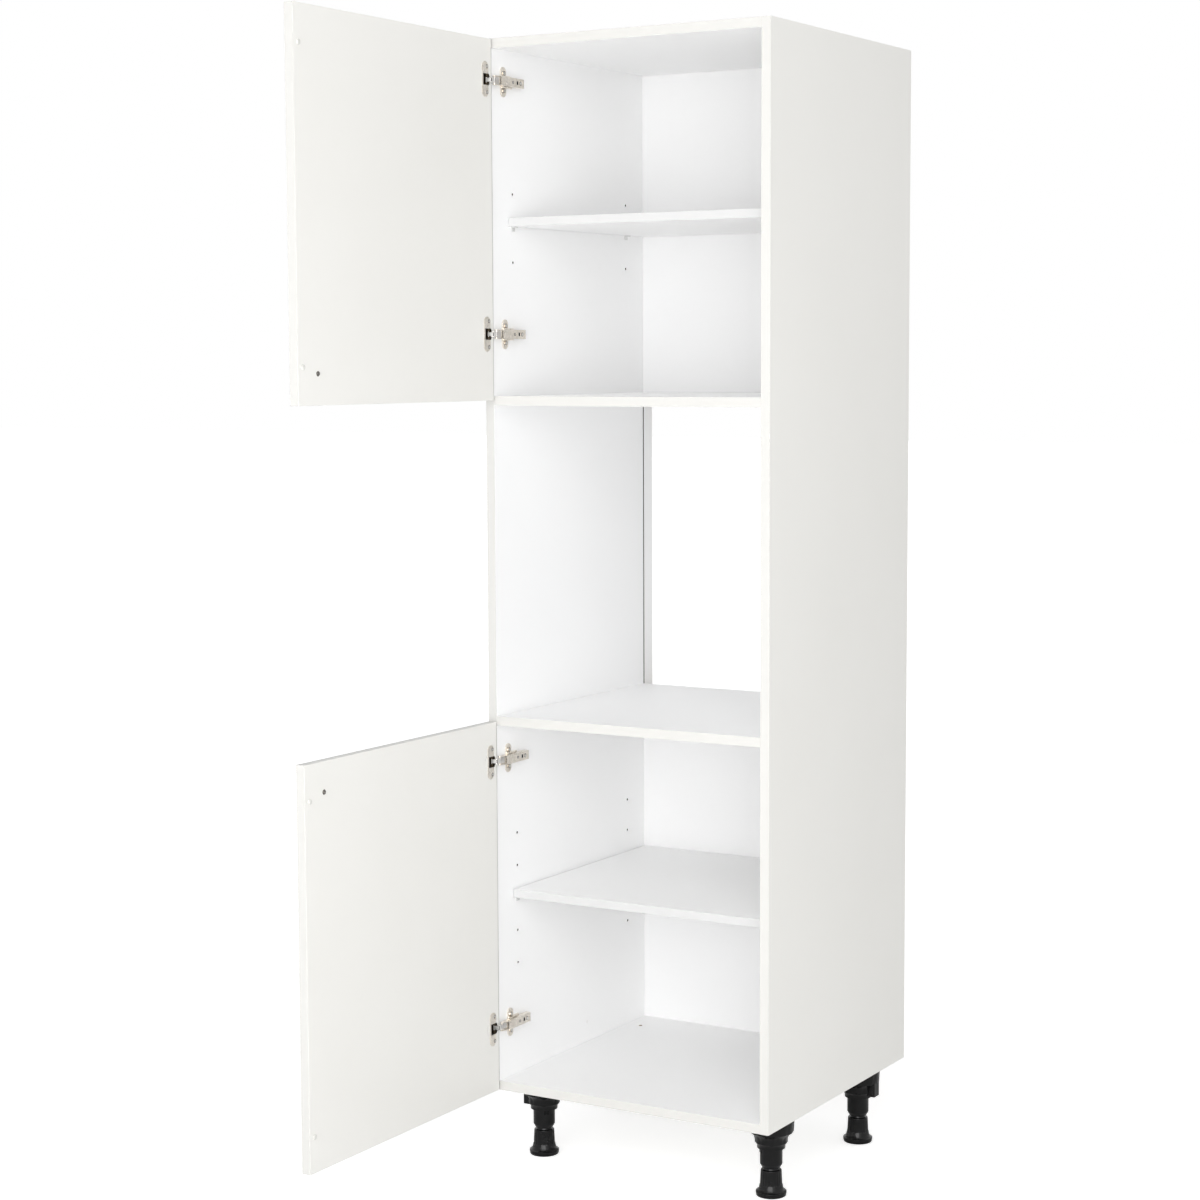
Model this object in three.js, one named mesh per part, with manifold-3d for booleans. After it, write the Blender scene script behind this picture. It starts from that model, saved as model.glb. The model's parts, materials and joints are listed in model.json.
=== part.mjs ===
// Tall housing unit for a built-in oven: a white carcass on four adjustable legs, with an
// open oven niche in the middle, a cupboard with one shelf above it and one below, and two
// full-overlay doors on four-pivot concealed hinges, shown open at a right angle.
//
// Millimetres, +Z up, front towards -Y, hinges on the -X side. The origin lies on the floor,
// under the middle of the carcass's front edge.
import * as THREE from "three";
import { mergeVertices } from "three/addons/utils/BufferGeometryUtils.js";
import Module from "manifold-3d";

const wasm = await Module();
wasm.setup();

// ---- Driving dimensions -------------------------------------------------------------------

// Carcass
const CARCASS_WIDTH = 600;
const CARCASS_HEIGHT = 2000;
const CARCASS_DEPTH = 600;
const BOARD = 18;
const LOWER_CLEAR_HEIGHT = 693;
const NICHE_CLEAR_HEIGHT = 590;

// Back panels, held in grooves
const BACK_BOARD = 3.4;
const GROOVE_FROM_REAR = 38;
const GROOVE_DEPTH = 8;
const GROOVE_CLEARANCE = 0.3;
const BACK_END_SETBACK = 2;

// Shelves and their pegs
const SHELF_BOARD = 16;
const SHELF_FRONT_SETBACK = 52;
const SHELF_SIDE_CLEARANCE = 1;
const SHELF_REAR_CLEARANCE = 1;
const PEG_HOLE_RADIUS = 2.5;
const PEG_HOLE_DEPTH = 12;
const PEG_PIN_RADIUS = 2.2;
const PEG_PIN_LENGTH = 11;
const PEG_PITCH = 64;
const PEG_FROM_FRONT = 69;
const PEG_FROM_BACK_PANEL = 69;
const PEG_RISE = 3.5;
const PEG_PLATE = 2;
const PEG_WIDTH = 10;
const PEG_DROP = 9;
const PEG_REACH = 9;
const UPPER_SHELF_PEG_HEIGHT = 315.5;
const UPPER_PEG_ROWS = 3;
const LOWER_SHELF_PEG_HEIGHT = 347;
const LOWER_PEG_ROWS = 5;

// Doors
const DOOR_BOARD = 18;
const DOOR_SIDE_REVEAL = 1.5;
const DOOR_END_REVEAL = 2;
const DOOR_OVERLAY_ON_NICHE = 8;
const DOOR_FRONT_GAP = 3;
const OPEN_FACE_PAST_SIDE = 3;
const OPEN_EDGE_TO_FRONT = 6;
const BUMPER_RADIUS = 5;
const BUMPER_THICKNESS = 2.2;
const BUMPER_FROM_EDGE = 14;
const BUMPER_FROM_END = 65;

// Knobs
const KNOB_FROM_EDGE = 55;
const KNOB_FROM_END = 54;
const KNOB_RADIUS = 15;
const KNOB_NECK_RADIUS = 6.5;
const KNOB_PROJECTION = 25;
const KNOB_BORE_DEPTH = 12;
const KNOB_SCREW_RADIUS = 2;
const KNOB_SCREW_LENGTH = 28;
const KNOB_SCREW_HEAD_RADIUS = 4;
const KNOB_SCREW_HEAD = 2;
const SCREW_CLEARANCE = 0.3;

// Concealed hinges
const HINGE_FROM_DOOR_TOP = 75;
const HINGE_FROM_DOOR_BOTTOM = 124;
const CUP_RADIUS = 17.4;
const CUP_BORE_CLEARANCE = 0.3;
const CUP_DEPTH = 11.7;
const CUP_WALL = 0.8;
const CUP_FROM_DOOR_EDGE = 21;
const CUP_POCKET_HALF_WIDTH = 10.5;
const CUP_POCKET_REACH = 6.5;
const CUP_RIM_RADIUS = 18;
const CUP_RIM = 0.4;
const CUP_FLANGE = 1;
const CUP_WING_HALF_HEIGHT = 32.5;
const CUP_WING_HALF_WIDTH = 10.5;
const CUP_LUG_RADIUS = 3;
const CUP_LUG_FROM_MIDDLE = 5.3;
const HINGE_PIN_RADIUS = 1.5;
const HINGE_PIN_CLEARANCE = 0.3;
const ARM_PIVOT_FROM_SIDE = 7;
const ARM_PIVOT_BEFORE_FRONT = 1;
const CUP_PIVOT_FROM_POLE = 6;
const ARM_HALF_WIDTH = 8.5;
const ARM_SHEET = 1.5;
const ARM_HEIGHT = 15;
const ARM_NOSE_RADIUS = 3.5;
const ARM_SLOPE_END = 12;
const ARM_REAR = 92;
const ARM_REAR_ROUND = 3;
const ARM_SLOT_FROM_FRONT = 67;
const ARM_SLOT_HALF_HEIGHT = 3.3;
const ARM_SLOT_HALF_WIDTH = 2.9;
const ADJUSTING_SCREW_FROM_FRONT = 51;
const ADJUSTING_SCREW_RADIUS = 2.6;
const FIXING_SCREW_FROM_FRONT = 77;
const FIXING_SCREW_RADIUS = 1.7;
const FIXING_SCREW_HEAD_RADIUS = 3.2;
const FIXING_SCREW_HEAD = 1.6;
const PLATE_THICKNESS = 2.7;
const PLATE_HALF_WIDTH = 6.5;
const PLATE_FRONT = 26;
const PLATE_REAR = 89;
const PLATE_BOSS_RADIUS = 4.5;
const PLATE_RAIL_FRONT = 30;
const PLATE_RAIL_REAR = 66;
const PLATE_RAIL_HEIGHT = 8;
const PLATE_RAIL = 2.5;
const PLATE_RAIL_SLOPE = 14;
const SEAT_CLEARANCE = 0.3;
const WING_CENTRE = 37;
const WING_HALF_WIDTH = 9;
const WING_HALF_HEIGHT = 28;
const WING_SCREW_OFFSET = 16;
const WING_SCREW_HEAD_RADIUS = 4;
const WING_SCREW_HEAD = 1.8;
const LINK_CHEEK_INNER = 3.7;
const LINK_CHEEK_OUTER = 5;
const LINK_EYE_RADIUS = 2.5;
const LINK_HALF_WIDTH = 1.8;
const LINK_WEB = 1;
const LINK_WEB_FROM_ARM_PIN = 4.5;
const LINK_ELBOW_DROP = 2.5;
const LINK_TONGUE_HALF_WIDTH = 1.2;
const LINK_TIP_RADIUS = 1.5;
const INNER_LINK_HALF_HEIGHT = 3.4;
const INNER_LINK_EYE_RADIUS = 2.4;
const INNER_LINK_HALF_WIDTH = 1.3;
const INNER_LINK_TONGUE_HALF_WIDTH = 1;
const INNER_LINK_TIP_RADIUS = 1.3;
const INNER_LINK_OFFSET = 0.8;

// Legs
const LEG_HEIGHT = 150;
const LEG_FROM_SIDE = 50;
const LEG_FROM_FRONT = 110;
const LEG_FROM_REAR = 110;
const LEG_NECK_RADIUS = 17;
const LEG_COLUMN_FOOT = 54;
const LEG_COLUMN_CHAMFER = 7;
const LEG_COLUMN_RADIUS = 21.2;
const LEG_STEP_RADIUS = 26.5;
const LEG_STEP_HEIGHT = 91;
const LEG_BELL_FOOT = 98;
const LEG_BELL_WAIST_RADIUS = 31;
const LEG_BELL_WAIST_HEIGHT = 110;
const LEG_BELL_RADIUS = 42;
const LEG_BELL_TOP = 122;
const LEG_FLANGE_RADIUS = 44;
const LEG_LUG_REACH = 41;
const LEG_LUG_HALF_WIDTH = 11;
const LEG_LUG_HEIGHT = 96;
const LEG_BORE_TOP = 138;
const LEG_SLOT_FOOT = 83;
const LEG_SLOT_HEIGHT = 9;
const LEG_SLOT_WIDTH = 8;
const LEG_SLOT_FROM_LUG = (3 * Math.PI) / 4;
const ACCESS_HOLE_RADIUS = 4;
const FOOT_STEM_RADIUS = 14.5;
const FOOT_STEM_CLEARANCE = 0.3;
const FOOT_BASE_RADIUS = 29;
const FOOT_BASE_ROUND = 2;
const FOOT_BASE_EDGE = 6;
const FOOT_BASE_TOP = 13;
const FOOT_COLLAR_FOOT = 20;
const FOOT_COLLAR_RADIUS = 21;
const FOOT_COLLAR_TOP = 50;
const FOOT_COLLAR_TOP_RADIUS = 19.6;
const FOOT_FLUTES = 20;
const FOOT_FLUTE_DEPTH = 1.2;

// Smoothness of round shapes
const PIN_SIDES = 12;
const SCREW_SIDES = 12;
const ROUND_SIDES = 28;

// Small overlap that lets a boolean join or cut reach past a face
const PAST = 1;

// ---- Places worked out from them ----------------------------------------------------------

const sideInner = CARCASS_WIDTH / 2 - BOARD;
const carcassBottom = LEG_HEIGHT;
const carcassTop = carcassBottom + CARCASS_HEIGHT;
const lowerFloor = carcassBottom + BOARD;
const nicheFloorUnderside = lowerFloor + LOWER_CLEAR_HEIGHT;
const nicheFloor = nicheFloorUnderside + BOARD;
const nicheCeiling = nicheFloor + NICHE_CLEAR_HEIGHT;
const upperFloor = nicheCeiling + BOARD;
const upperCeiling = carcassTop - BOARD;

const grooveFront = CARCASS_DEPTH - GROOVE_FROM_REAR;
const grooveWidth = BACK_BOARD + 2 * GROOVE_CLEARANCE;
const backFront = grooveFront + GROOVE_CLEARANCE;
const grooveReach = GROOVE_DEPTH - GROOVE_CLEARANCE;

const pegRear = grooveFront - PEG_FROM_BACK_PANEL;
const pegColumns = { front: PEG_FROM_FRONT, rear: pegRear };
const upperPegHeight = upperFloor + UPPER_SHELF_PEG_HEIGHT;
const lowerPegHeight = lowerFloor + LOWER_SHELF_PEG_HEIGHT;

const doorWidth = CARCASS_WIDTH - 2 * DOOR_SIDE_REVEAL;
const openFace = -sideInner + OPEN_FACE_PAST_SIDE;
const openEdge = -OPEN_EDGE_TO_FRONT;
const openOuterFace = openFace - DOOR_BOARD;
const openFreeEdge = openEdge - doorWidth;
const cupY = openEdge - CUP_FROM_DOOR_EDGE;

const armTop = -sideInner + ARM_HEIGHT;
const plateTop = -sideInner + PLATE_THICKNESS;
const armSole = plateTop + SEAT_CLEARANCE;

// The door turns by a right angle about the pole, the one point that carries it from its
// closed place to its open one. The links turn about the arm pivot, and their tips meet the
// middle of the cup's lugs at both ends of that turn, as these lie at 45 degrees to either
// side of the line from the pole to the arm pivot.
const pole = new THREE.Vector2(
  (openFace + DOOR_FRONT_GAP + openEdge - CARCASS_WIDTH / 2 + DOOR_SIDE_REVEAL) / 2,
  (openEdge - CARCASS_WIDTH / 2 + DOOR_SIDE_REVEAL - openFace - DOOR_FRONT_GAP) / 2,
);
const armPivot = new THREE.Vector2(-sideInner + ARM_PIVOT_FROM_SIDE, -ARM_PIVOT_BEFORE_FRONT);
const cupPivot = armPivot
  .clone()
  .sub(pole)
  .setLength(CUP_PIVOT_FROM_POLE)
  .rotateAround(new THREE.Vector2(0, 0), -Math.PI / 4)
  .add(pole);
const linkElbow = new THREE.Vector2(armPivot.x, cupPivot.y + LINK_ELBOW_DROP);

// ---- Materials ----------------------------------------------------------------------------

function finish(color, roughness, metalness = 0) {
  return () => new THREE.MeshStandardMaterial({ color, roughness, metalness });
}

const carcassWhite = finish(0xebebeb, 0.45);
const doorWhite = finish(0xefeeea, 0.4);
const shelfWhite = finish(0xf6f6f6, 0.45);
const backWhite = finish(0xe9e9ea, 0.5);
const blackPlastic = finish(0x1e1e1f, 0.45);
const nickel = finish(0xcfcbc4, 0.3, 1);
const steel = finish(0xb9b7b2, 0.35, 1);
const clearPlastic = finish(0xdedcd6, 0.25);

// ---- Solids -------------------------------------------------------------------------------

// A closed three.js geometry as a solid that can be joined and cut.
function solid(geometry) {
  const bare = geometry.clone();
  bare.deleteAttribute("normal");
  bare.deleteAttribute("uv");
  const merged = mergeVertices(bare, 1e-4);
  const mesh = new wasm.Mesh({
    numProp: 3,
    vertProperties: new Float32Array(merged.attributes.position.array),
    triVerts: new Uint32Array(merged.index.array),
  });
  return new wasm.Manifold(mesh);
}

function geometryOf(manifold) {
  const mesh = manifold.getMesh();
  const geometry = new THREE.BufferGeometry();
  geometry.setAttribute("position", new THREE.BufferAttribute(mesh.vertProperties, 3));
  geometry.setIndex(new THREE.BufferAttribute(mesh.triVerts, 1));
  const flat = geometry.toNonIndexed();
  flat.computeVertexNormals();
  return flat;
}

function box(x0, x1, y0, y1, z0, z1) {
  const geometry = new THREE.BoxGeometry(x1 - x0, y1 - y0, z1 - z0);
  return solid(geometry.translate((x0 + x1) / 2, (y0 + y1) / 2, (z0 + z1) / 2));
}

function rodX(radius, x0, x1, y, z, sides = SCREW_SIDES) {
  const geometry = new THREE.CylinderGeometry(radius, radius, x1 - x0, sides);
  return solid(geometry.rotateZ(Math.PI / 2).translate((x0 + x1) / 2, y, z));
}

function rodZ(radius, x, y, z0, z1, sides = SCREW_SIDES) {
  const geometry = new THREE.CylinderGeometry(radius, radius, z1 - z0, sides);
  return solid(geometry.rotateX(Math.PI / 2).translate(x, y, (z0 + z1) / 2));
}

// A flat outline in X and Y, given thickness along Z.
function slab(shape, z0, z1, curveSegments = 8) {
  const geometry = new THREE.ExtrudeGeometry(shape, {
    depth: z1 - z0,
    bevelEnabled: false,
    curveSegments,
  });
  return solid(geometry.translate(0, 0, z0));
}

// A straight bar with round ends between two points, given thickness along Z.
function bar(from, to, halfWidth, z0, z1) {
  const heading = to.clone().sub(from).angle();
  const shape = new THREE.Shape();
  shape.absarc(from.x, from.y, halfWidth, heading + Math.PI / 2, heading - Math.PI / 2, false);
  shape.absarc(to.x, to.y, halfWidth, heading - Math.PI / 2, heading + Math.PI / 2, false);
  return slab(shape, z0, z1, 4);
}

// A turned shape about the vertical axis through x, y. The profile holds radius and height
// pairs and starts and ends on the axis.
function turned(profile, x, y, sides = ROUND_SIDES) {
  const points = profile.map(([radius, height]) => new THREE.Vector2(radius, height));
  const geometry = new THREE.LatheGeometry(points, sides);
  return solid(geometry.rotateX(Math.PI / 2).translate(x, y, 0));
}

function joined(first, ...rest) {
  return rest.reduce((sum, piece) => sum.add(piece), first);
}

function cut(stock, ...tools) {
  return tools.reduce((left, tool) => left.subtract(tool), stock);
}

const unit = new THREE.Group();

function place(name, manifold, material, parent = unit) {
  const mesh = new THREE.Mesh(geometryOf(manifold), material());
  mesh.name = name;
  parent.add(mesh);
}

// ---- Carcass ------------------------------------------------------------------------------

function pegHeights(middle, rows) {
  return Array.from({ length: rows }, (_, row) => middle + (row - (rows - 1) / 2) * PEG_PITCH);
}

// One side panel, drawn for the +X side and mirrored for the other.
function sidePanel(hand) {
  const outer = CARCASS_WIDTH / 2;
  const span = (from, to) => (hand > 0 ? [from, to] : [-to, -from]);
  const board = box(...span(sideInner, outer), 0, CARCASS_DEPTH, carcassBottom, carcassTop);
  const groove = box(
    ...span(sideInner - PAST, sideInner + GROOVE_DEPTH),
    grooveFront,
    grooveFront + grooveWidth,
    carcassBottom - PAST,
    carcassTop + PAST,
  );
  const heights = [
    ...pegHeights(upperPegHeight, UPPER_PEG_ROWS),
    ...pegHeights(lowerPegHeight, LOWER_PEG_ROWS),
  ];
  const holes = Object.values(pegColumns).flatMap((y) =>
    heights.map((z) => {
      const reach = span(sideInner - PAST, sideInner + PEG_HOLE_DEPTH);
      return rodX(PEG_HOLE_RADIUS, ...reach, y, z, PIN_SIDES);
    }),
  );
  return cut(board, groove, ...holes);
}

function crossPanel(z0, z1, depth) {
  return box(-sideInner, sideInner, 0, depth, z0, z1);
}

// The groove in the top or bottom panel that holds the outer end of a back panel.
function endGroove(z0, z1) {
  const wide = sideInner + PAST;
  return box(-wide, wide, grooveFront, grooveFront + grooveWidth, z0, z1);
}

function bottomPanel() {
  const board = crossPanel(carcassBottom, lowerFloor, CARCASS_DEPTH);
  const groove = endGroove(lowerFloor - GROOVE_DEPTH, lowerFloor + PAST);
  const holes = [-1, 1].map((side) =>
    rodZ(
      ACCESS_HOLE_RADIUS,
      side * (CARCASS_WIDTH / 2 - LEG_FROM_SIDE),
      CARCASS_DEPTH - LEG_FROM_REAR,
      carcassBottom - PAST,
      lowerFloor + PAST,
    ),
  );
  return cut(board, groove, ...holes);
}

function topPanel() {
  const board = crossPanel(upperCeiling, carcassTop, CARCASS_DEPTH);
  return cut(board, endGroove(upperCeiling - PAST, upperCeiling + GROOVE_DEPTH));
}

function backPanel(z0, z1) {
  const half = sideInner + grooveReach;
  return box(-half, half, backFront, backFront + BACK_BOARD, z0, z1);
}

function shelf(pegHeight) {
  const half = sideInner - SHELF_SIDE_CLEARANCE;
  const rear = backFront - SHELF_REAR_CLEARANCE;
  const underside = pegHeight + PEG_RISE;
  return box(-half, half, SHELF_FRONT_SETBACK, rear, underside, underside + SHELF_BOARD);
}

// A shelf peg: a pin in the side panel, with a bent tab that the shelf lies on.
function shelfPeg(hand, y, z) {
  const span = (from, to) => (hand > 0 ? [from, to] : [-to, -from]);
  const top = z + PEG_RISE;
  const halfWidth = PEG_WIDTH / 2;
  const pin = rodX(
    PEG_PIN_RADIUS,
    ...span(sideInner - PEG_PLATE / 2, sideInner + PEG_PIN_LENGTH),
    y,
    z,
    PIN_SIDES,
  );
  const plateSpan = span(sideInner - PEG_PLATE, sideInner);
  const plate = box(...plateSpan, y - halfWidth, y + halfWidth, top - PEG_DROP, top);
  const tabSpan = span(sideInner - PEG_REACH, sideInner);
  const tab = box(...tabSpan, y - halfWidth, y + halfWidth, top - PEG_PLATE, top);
  return joined(pin, plate, tab);
}

place("left_side", sidePanel(-1), carcassWhite);
place("right_side", sidePanel(1), carcassWhite);
place("top_panel", topPanel(), carcassWhite);
place("bottom_panel", bottomPanel(), carcassWhite);
place("niche_floor", crossPanel(nicheFloorUnderside, nicheFloor, grooveFront), carcassWhite);
place("niche_ceiling", crossPanel(nicheCeiling, upperFloor, grooveFront), carcassWhite);
place("lower_back", backPanel(lowerFloor - grooveReach, nicheFloor - BACK_END_SETBACK), backWhite);
place("upper_back", backPanel(nicheCeiling + BACK_END_SETBACK, upperCeiling + grooveReach), backWhite);
place("upper_shelf", shelf(upperPegHeight), shelfWhite);
place("lower_shelf", shelf(lowerPegHeight), shelfWhite);

for (const [level, height] of [
  ["upper", upperPegHeight],
  ["lower", lowerPegHeight],
]) {
  for (const [hand, side] of [
    [-1, "left"],
    [1, "right"],
  ]) {
    for (const [row, y] of Object.entries(pegColumns)) {
      place(`${level}_shelf_peg_${row}_${side}`, shelfPeg(hand, y, height), nickel);
    }
  }
}

// ---- Legs ---------------------------------------------------------------------------------

// The fixed part of a leg: a bell under the bottom panel over a round column, with a box lug
// at one side, a bore for the foot's stem and a small slot through the column.
function legSocket(x, y, lugX, lugY) {
  const body = turned(
    [
      [0, LEG_COLUMN_FOOT],
      [LEG_NECK_RADIUS, LEG_COLUMN_FOOT],
      [LEG_COLUMN_RADIUS, LEG_COLUMN_FOOT + LEG_COLUMN_CHAMFER],
      [LEG_COLUMN_RADIUS, LEG_STEP_HEIGHT],
      [LEG_STEP_RADIUS, LEG_STEP_HEIGHT],
      [LEG_STEP_RADIUS, LEG_BELL_FOOT],
      [LEG_BELL_WAIST_RADIUS, LEG_BELL_WAIST_HEIGHT],
      [LEG_BELL_RADIUS, LEG_BELL_TOP],
      [LEG_FLANGE_RADIUS, LEG_HEIGHT],
      [0, LEG_HEIGHT],
    ],
    x,
    y,
  );
  const along = LEG_LUG_REACH / 2;
  const lug = box(
    x + lugX * along - (lugX ? along : LEG_LUG_HALF_WIDTH),
    x + lugX * along + (lugX ? along : LEG_LUG_HALF_WIDTH),
    y + lugY * along - (lugY ? along : LEG_LUG_HALF_WIDTH),
    y + lugY * along + (lugY ? along : LEG_LUG_HALF_WIDTH),
    LEG_LUG_HEIGHT,
    LEG_HEIGHT,
  );
  const boreRadius = FOOT_STEM_RADIUS + FOOT_STEM_CLEARANCE;
  const bore = rodZ(boreRadius, x, y, LEG_COLUMN_FOOT - PAST, LEG_BORE_TOP, ROUND_SIDES);
  const slotReach = LEG_STEP_RADIUS;
  const slot = new THREE.BoxGeometry(slotReach, LEG_SLOT_WIDTH, LEG_SLOT_HEIGHT)
    .translate(slotReach / 2, 0, LEG_SLOT_FOOT + LEG_SLOT_HEIGHT / 2)
    .rotateZ(Math.atan2(lugY, lugX) + LEG_SLOT_FROM_LUG)
    .translate(x, y, 0);
  return cut(joined(body, lug), bore, solid(slot));
}

// A tapered ring of flutes round a foot's collar.
function flutedCollar(x, y) {
  const height = FOOT_COLLAR_TOP - FOOT_COLLAR_FOOT;
  const sides = 4 * FOOT_FLUTES;
  const geometry = new THREE.CylinderGeometry(
    FOOT_COLLAR_TOP_RADIUS,
    FOOT_COLLAR_RADIUS,
    height,
    sides,
  );
  const position = geometry.attributes.position;
  for (let i = 0; i < position.count; i += 1) {
    const px = position.getX(i);
    const pz = position.getZ(i);
    const radius = Math.hypot(px, pz);
    const step = Math.round((Math.atan2(pz, px) / (2 * Math.PI)) * sides + sides) % 4;
    if (radius > PAST && step < 2) {
      const shrink = 1 - FOOT_FLUTE_DEPTH / radius;
      position.setX(i, px * shrink);
      position.setZ(i, pz * shrink);
    }
  }
  geometry.rotateX(Math.PI / 2);
  return solid(geometry.translate(x, y, FOOT_COLLAR_FOOT + height / 2));
}

// The foot that screws into it. Its stem ends just under the top of the bore, so the leg is
// at its shortest.
function legFoot(x, y) {
  const body = turned(
    [
      [0, 0],
      [FOOT_BASE_RADIUS - FOOT_BASE_ROUND, 0],
      [FOOT_BASE_RADIUS, FOOT_BASE_EDGE],
      [FOOT_BASE_RADIUS, FOOT_BASE_TOP],
      [FOOT_COLLAR_RADIUS - FOOT_FLUTE_DEPTH, FOOT_COLLAR_FOOT],
      [FOOT_STEM_RADIUS, FOOT_COLLAR_FOOT + PAST],
      [FOOT_STEM_RADIUS, LEG_BORE_TOP - SEAT_CLEARANCE],
      [0, LEG_BORE_TOP - SEAT_CLEARANCE],
    ],
    x,
    y,
  );
  return joined(body, flutedCollar(x, y));
}

// The front right lug faces the rear, every other one the nearer side panel.
for (const [name, handX, y, lugX, lugY] of [
  ["front_left", -1, LEG_FROM_FRONT, -1, 0],
  ["front_right", 1, LEG_FROM_FRONT, 0, 1],
  ["rear_left", -1, CARCASS_DEPTH - LEG_FROM_REAR, -1, 0],
  ["rear_right", 1, CARCASS_DEPTH - LEG_FROM_REAR, 1, 0],
]) {
  const x = handX * (CARCASS_WIDTH / 2 - LEG_FROM_SIDE);
  place(`leg_socket_${name}`, legSocket(x, y, lugX, lugY), blackPlastic);
  place(`leg_foot_${name}`, legFoot(x, y), blackPlastic);
}

// ---- Hinges -------------------------------------------------------------------------------
// Each hinge is drawn about z = 0 and set at its height by its group.

function mountingPlate() {
  const bottom = -sideInner;
  const spine = box(bottom, plateTop, PLATE_FRONT, PLATE_REAR, -PLATE_HALF_WIDTH, PLATE_HALF_WIDTH);
  const wings = box(
    bottom,
    plateTop,
    WING_CENTRE - WING_HALF_WIDTH,
    WING_CENTRE + WING_HALF_WIDTH,
    WING_HALF_WIDTH - WING_HALF_HEIGHT,
    WING_HALF_HEIGHT - WING_HALF_WIDTH,
  );
  const wingEnds = [-1, 1].map((end) =>
    rodX(WING_HALF_WIDTH, bottom, plateTop, WING_CENTRE, end * (WING_HALF_HEIGHT - WING_HALF_WIDTH)),
  );
  const heads = [-1, 1].map((end) =>
    rodX(
      WING_SCREW_HEAD_RADIUS,
      bottom,
      plateTop + WING_SCREW_HEAD,
      WING_CENTRE,
      end * WING_SCREW_OFFSET,
    ),
  );
  const railInner = ARM_HALF_WIDTH + SEAT_CLEARANCE;
  const railOuter = railInner + PLATE_RAIL;
  const sole = box(bottom, plateTop, PLATE_RAIL_FRONT, PLATE_RAIL_REAR, -railOuter, railOuter);
  const railTop = bottom + PLATE_RAIL_HEIGHT;
  const railShape = new THREE.Shape([
    new THREE.Vector2(bottom, PLATE_RAIL_FRONT),
    new THREE.Vector2(railTop, PLATE_RAIL_FRONT),
    new THREE.Vector2(railTop, PLATE_RAIL_REAR - PLATE_RAIL_SLOPE),
    new THREE.Vector2(plateTop, PLATE_RAIL_REAR),
    new THREE.Vector2(bottom, PLATE_RAIL_REAR),
  ]);
  const rails = [slab(railShape, railInner, railOuter), slab(railShape, -railOuter, -railInner)];
  const bossTop = armTop - ARM_SHEET - SEAT_CLEARANCE;
  const boss = rodX(PLATE_BOSS_RADIUS, bottom, bossTop, FIXING_SCREW_FROM_FRONT, 0);
  const bore = rodX(
    FIXING_SCREW_RADIUS + SCREW_CLEARANCE,
    bottom + PLATE_THICKNESS / 2,
    bossTop + PAST,
    FIXING_SCREW_FROM_FRONT,
    0,
  );
  return cut(joined(spine, sole, wings, ...rails, ...wingEnds, ...heads, boss), bore);
}

// A channel of bent sheet, open towards the side panel, with the arm pin across its nose.
function hingeArm() {
  const nose = ARM_NOSE_RADIUS;
  const cheek = new THREE.Shape();
  cheek.absarc(armPivot.x, armPivot.y, nose, Math.PI, 2 * Math.PI, false);
  cheek.lineTo(armTop, ARM_SLOPE_END);
  cheek.lineTo(armTop, ARM_REAR - ARM_REAR_ROUND);
  cheek.lineTo(armTop - ARM_REAR_ROUND, ARM_REAR);
  cheek.lineTo(armSole, ARM_REAR);
  cheek.lineTo(armSole, ARM_SLOPE_END);
  const inner = ARM_HALF_WIDTH - ARM_SHEET;
  const cheeks = [
    slab(cheek, inner, ARM_HALF_WIDTH, 10),
    slab(cheek, -ARM_HALF_WIDTH, -inner, 10),
  ];
  const web = box(
    armTop - ARM_SHEET,
    armTop,
    ARM_SLOPE_END,
    ARM_REAR - ARM_REAR_ROUND,
    -ARM_HALF_WIDTH,
    ARM_HALF_WIDTH,
  );
  const pin = rodZ(HINGE_PIN_RADIUS, armPivot.x, armPivot.y, -ARM_HALF_WIDTH, ARM_HALF_WIDTH);
  const through = [armTop - ARM_SHEET - PAST, armTop + PAST];
  const slot = box(
    ...through,
    ARM_SLOT_FROM_FRONT - ARM_SLOT_HALF_WIDTH,
    ARM_SLOT_FROM_FRONT + ARM_SLOT_HALF_WIDTH,
    -ARM_SLOT_HALF_HEIGHT,
    ARM_SLOT_HALF_HEIGHT,
  );
  const adjusting = rodX(ADJUSTING_SCREW_RADIUS, ...through, ADJUSTING_SCREW_FROM_FRONT, 0);
  const fixingRadius = FIXING_SCREW_RADIUS + SCREW_CLEARANCE;
  const fixing = rodX(fixingRadius, ...through, FIXING_SCREW_FROM_FRONT, 0);
  return cut(joined(web, ...cheeks, pin), slot, adjusting, fixing);
}

function fixingScrew() {
  const head = rodX(
    FIXING_SCREW_HEAD_RADIUS,
    armTop,
    armTop + FIXING_SCREW_HEAD,
    FIXING_SCREW_FROM_FRONT,
    0,
  );
  const shank = rodX(
    FIXING_SCREW_RADIUS,
    -sideInner + PLATE_THICKNESS,
    armTop + FIXING_SCREW_HEAD / 2,
    FIXING_SCREW_FROM_FRONT,
    0,
  );
  return joined(head, shank);
}

// The bore of a link for the arm pin.
function linkBore(halfHeight) {
  const radius = HINGE_PIN_RADIUS + HINGE_PIN_CLEARANCE;
  return rodZ(radius, armPivot.x, armPivot.y, -halfHeight - PAST, halfHeight + PAST);
}

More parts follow.
